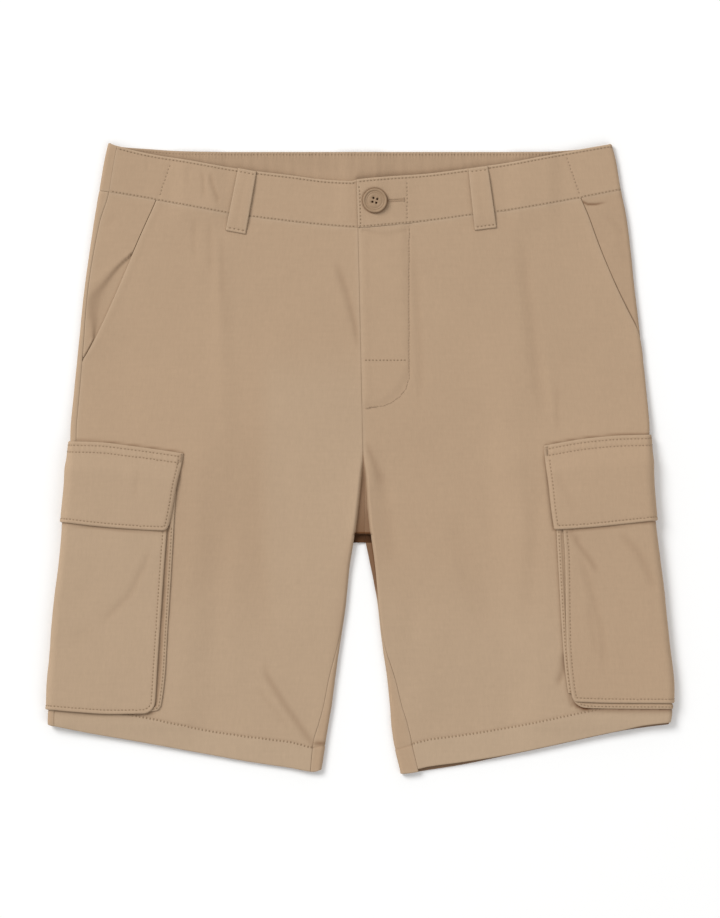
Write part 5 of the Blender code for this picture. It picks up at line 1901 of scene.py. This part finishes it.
class SHORTS_OT_hip_pockets(bpy.types.Operator):
    """Lay the facings in the mouths of the slant hip pockets"""

    bl_idname = "shorts.hip_pockets"
    bl_label = "Hip pockets"

    def execute(self, context):
        for side in SIDES:
            sew(hip_facing(side), f"hip_facing_{side}")
        return {"FINISHED"}


class SHORTS_OT_waistband(bpy.types.Operator):
    """Lay the waistband's front halves and its gathered back, with their rows of stitches"""

    bl_idname = "shorts.waistband"
    bl_label = "Waistband"

    def execute(self, context):
        back = waistband_back()
        x = np.linspace(*BACK_ROW_ENDS, 200)
        top_row = as_line((x, WAIST.at("back_top", x) - BACK_ROW, 3))
        thread = stitch("stitches_waistband_back", satin(seat_on(back), top_row, *BACK_STITCH))
        sew(back, "waistband_back")
        for side in SIDES:
            piece = waistband_front(side)
            seat = seat_on(piece)
            lines = [
                waistband_line(side, lambda x: WAIST.at("top", x) - BAND_TOP_ROW),
                waistband_line(side, lambda x: WAIST.at("seam", x) + SEAM + BAND_SEAM_ROW),
            ]
            pale = running(seat, [flat_line(side, ELASTIC_ROWS[side], band_over)])
            if side == "left":
                lines.append(flat_line(side, LAP_ROW, band_over))
                pale += running(seat, [flat_line(side, FLY_BAND_ROW, band_over)]) + self.buttonhole(seat)
            threads = [stitch(f"stitches_waistband_{side}", running(seat, lines))]
            threads.append(stitch(f"pale_stitches_waistband_{side}", pale, "pale thread"))
            sew(piece, f"waistband_front_{side}")
        return {"FINISHED"}

    def buttonhole(self, seat):
        """Satin stitches down both lips of the buttonhole, and a bar across its end."""
        (x0, y0), (x1, y1) = BUTTONHOLE
        half = BUTTONHOLE_WIDTH / 2
        length = math.hypot(x1 - x0, y1 - y0)
        across = np.array([y0 - y1, x1 - x0]) / length
        stitches = []
        for lip in (-1, 1):
            line = flat_line("left", np.array(BUTTONHOLE) + across * lip * half / 2, band_over)
            stitches += satin(seat, line, *LIP_STITCH)
        ends = [(x1 + across[0] * up, y1 + across[1] * up) for up in (half, -half)]
        bar = np.array([(x, y, float(band_over("left", x, y)) + LINE_LIFT) for x, y in ends])
        return stitches + satin(seat, bar, *LIP_BAR)


class SHORTS_OT_belt_loops(bpy.types.Operator):
    """Lay the belt loops, in front and behind"""

    bl_idname = "shorts.belt_loops"
    bl_label = "Belt loops"

    def execute(self, context):
        for side in SIDES:
            piece = belt_loop(side)
            thread = stitch(f"stitches_belt_loop_{side}", running(seat_on(piece), loop_lines(side)))
            sew(piece, f"belt_loop_{side}")
        for name, x in BACK_LOOPS.items():
            sew(back_belt_loop(name, x), f"belt_loop_back_{name}")
        return {"FINISHED"}


class SHORTS_OT_cargo_pockets(bpy.types.Operator):
    """Lay the cargo pockets: gussets, faces and flaps, with their rows of stitches"""

    bl_idname = "shorts.cargo_pockets"
    bl_label = "Cargo pockets"

    def execute(self, context):
        for side in SIDES:
            parts = ("gusset", cargo_gusset, GUSSET_ROW), ("pocket", cargo_pocket, EDGE_ROW)
            for part, made, inset in parts:
                piece = made(side)
                line = corner_line(part, side, POCKET_LINE_TOP, inset)
                thread = stitch(f"stitches_{part}_{side}", running(seat_on(piece), [line], *POCKET_STITCH))
                sew(piece, f"cargo_{part}_{side}")
            flap = cargo_flap(side)
            seat = seat_on(flap)
            tack = stitch(f"bar_tack_{side}", satin(seat, flap_tack(side), *FLAP_BAR), "pale thread")
            thread = stitch(f"stitches_flap_{side}", running(seat, flap_lines(side), *FLAP_STITCH))
            sew(flap, f"cargo_flap_{side}")
        return {"FINISHED"}


class SHORTS_OT_button(bpy.types.Operator):
    """Turn the button and sew it to the waistband"""

    bl_idname = "shorts.button"
    bl_label = "Button"

    def execute(self, context):
        piece = button_piece()
        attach(piece, "root")
        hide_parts("button")
        return {"FINISHED"}


# Each light's size and place, the camera's sensor, the point under it and the height of its framing
KEY_LIGHT = (5.2, (-5.8, 5, 6.8))
FILL_LIGHT = (4, (3, -2.6, 3.8))
SENSOR_HEIGHT = 24
VIEW_CENTRE = (-0.43, -0.34)
VIEW_LEVEL = 6


def soft_light(name, size, place, power):
    """A round light at a place, turned to the middle of the floor."""
    light = bpy.data.lights.new(name, "AREA")
    light.shape = "DISK"
    light.size = size
    light.energy = power
    lamp = new_piece(name, light)
    lamp.location = place
    lamp.rotation_euler = (-Vector(place)).to_track_quat("-Z", "Y").to_euler()


class SHORTS_OT_stage(bpy.types.Operator):
    """Set the floor, the soft lights and the camera"""

    bl_idname = "shorts.stage"
    bl_label = "Stage"

    def execute(self, context):
        stage = settings().stage
        scene = context.scene
        work = bmesh.new()
        bmesh.ops.create_grid(work, x_segments=1, y_segments=1, size=4)
        paper, shader, net = plain_material("floor paper", roughness=0.9, specular=0.1)
        net.join(net.tone(stage.floor, Amount=0.01), shader["Base Color"])
        floor = new_piece("floor", to_mesh(work, "floor"), paper)
        soft_light("key", *KEY_LIGHT, stage.key)
        soft_light("fill", *FILL_LIGHT, stage.fill)
        world = bpy.data.worlds.new("room")
        world.use_nodes = True
        sky = world.node_tree.nodes["Background"].inputs
        sky["Color"].default_value = (1, 1, 1, 1)
        sky["Strength"].default_value = stage.sky
        scene.world = world
        scene.view_settings.view_transform = "Standard"
        lens = bpy.data.cameras.new("camera")
        lens.sensor_fit = "VERTICAL"
        lens.sensor_height = SENSOR_HEIGHT
        lens.lens = SENSOR_HEIGHT * (stage.distance - VIEW_LEVEL * MM) / stage.view_height
        camera = new_piece("camera", lens)
        camera.location = (VIEW_CENTRE[0] * MM, VIEW_CENTRE[1] * MM, stage.distance)
        scene.camera = camera
        return {"FINISHED"}


STEPS = (
    SHORTS_OT_back_panels, SHORTS_OT_front_panels, SHORTS_OT_hip_pockets, SHORTS_OT_waistband,
    SHORTS_OT_belt_loops, SHORTS_OT_cargo_pockets, SHORTS_OT_button, SHORTS_OT_stage,
)


class VIEW3D_PT_shorts(bpy.types.Panel):
    """Settings and steps of the shorts in the sidebar"""

    bl_idname = "VIEW3D_PT_shorts"
    bl_label = "Cargo shorts"
    bl_space_type = "VIEW_3D"
    bl_region_type = "UI"
    bl_category = "Shorts"

    def draw(self, context):
        look = settings()
        for group in (look.cloth, look.thread, look.button, look.stage):
            box = self.layout.box()
            box.label(text=type(group).__name__.replace("Settings", ""))
            for name in group.__annotations__:
                box.prop(group, name)
        steps = self.layout.column(align=True)
        for step in STEPS:
            steps.operator(step.bl_idname, text=step.bl_label)


CLASSES = (
    ClothSettings, ThreadSettings, ButtonSettings, StageSettings, ShortsSettings, *STEPS, VIEW3D_PT_shorts,
)


def register():
    for made in CLASSES:
        bpy.utils.register_class(made)
    bpy.types.Scene.cargo_shorts = PointerProperty(type=ShortsSettings)


def unregister():
    del bpy.types.Scene.cargo_shorts
    for made in reversed(CLASSES):
        bpy.utils.unregister_class(made)


def main():
    register()
    bpy.ops.shorts.back_panels()
    bpy.ops.shorts.front_panels()
    bpy.ops.shorts.hip_pockets()
    bpy.ops.shorts.waistband()
    bpy.ops.shorts.belt_loops()
    bpy.ops.shorts.cargo_pockets()
    bpy.ops.shorts.button()
    bpy.ops.shorts.stage()


if __name__ == "__main__":
    main()
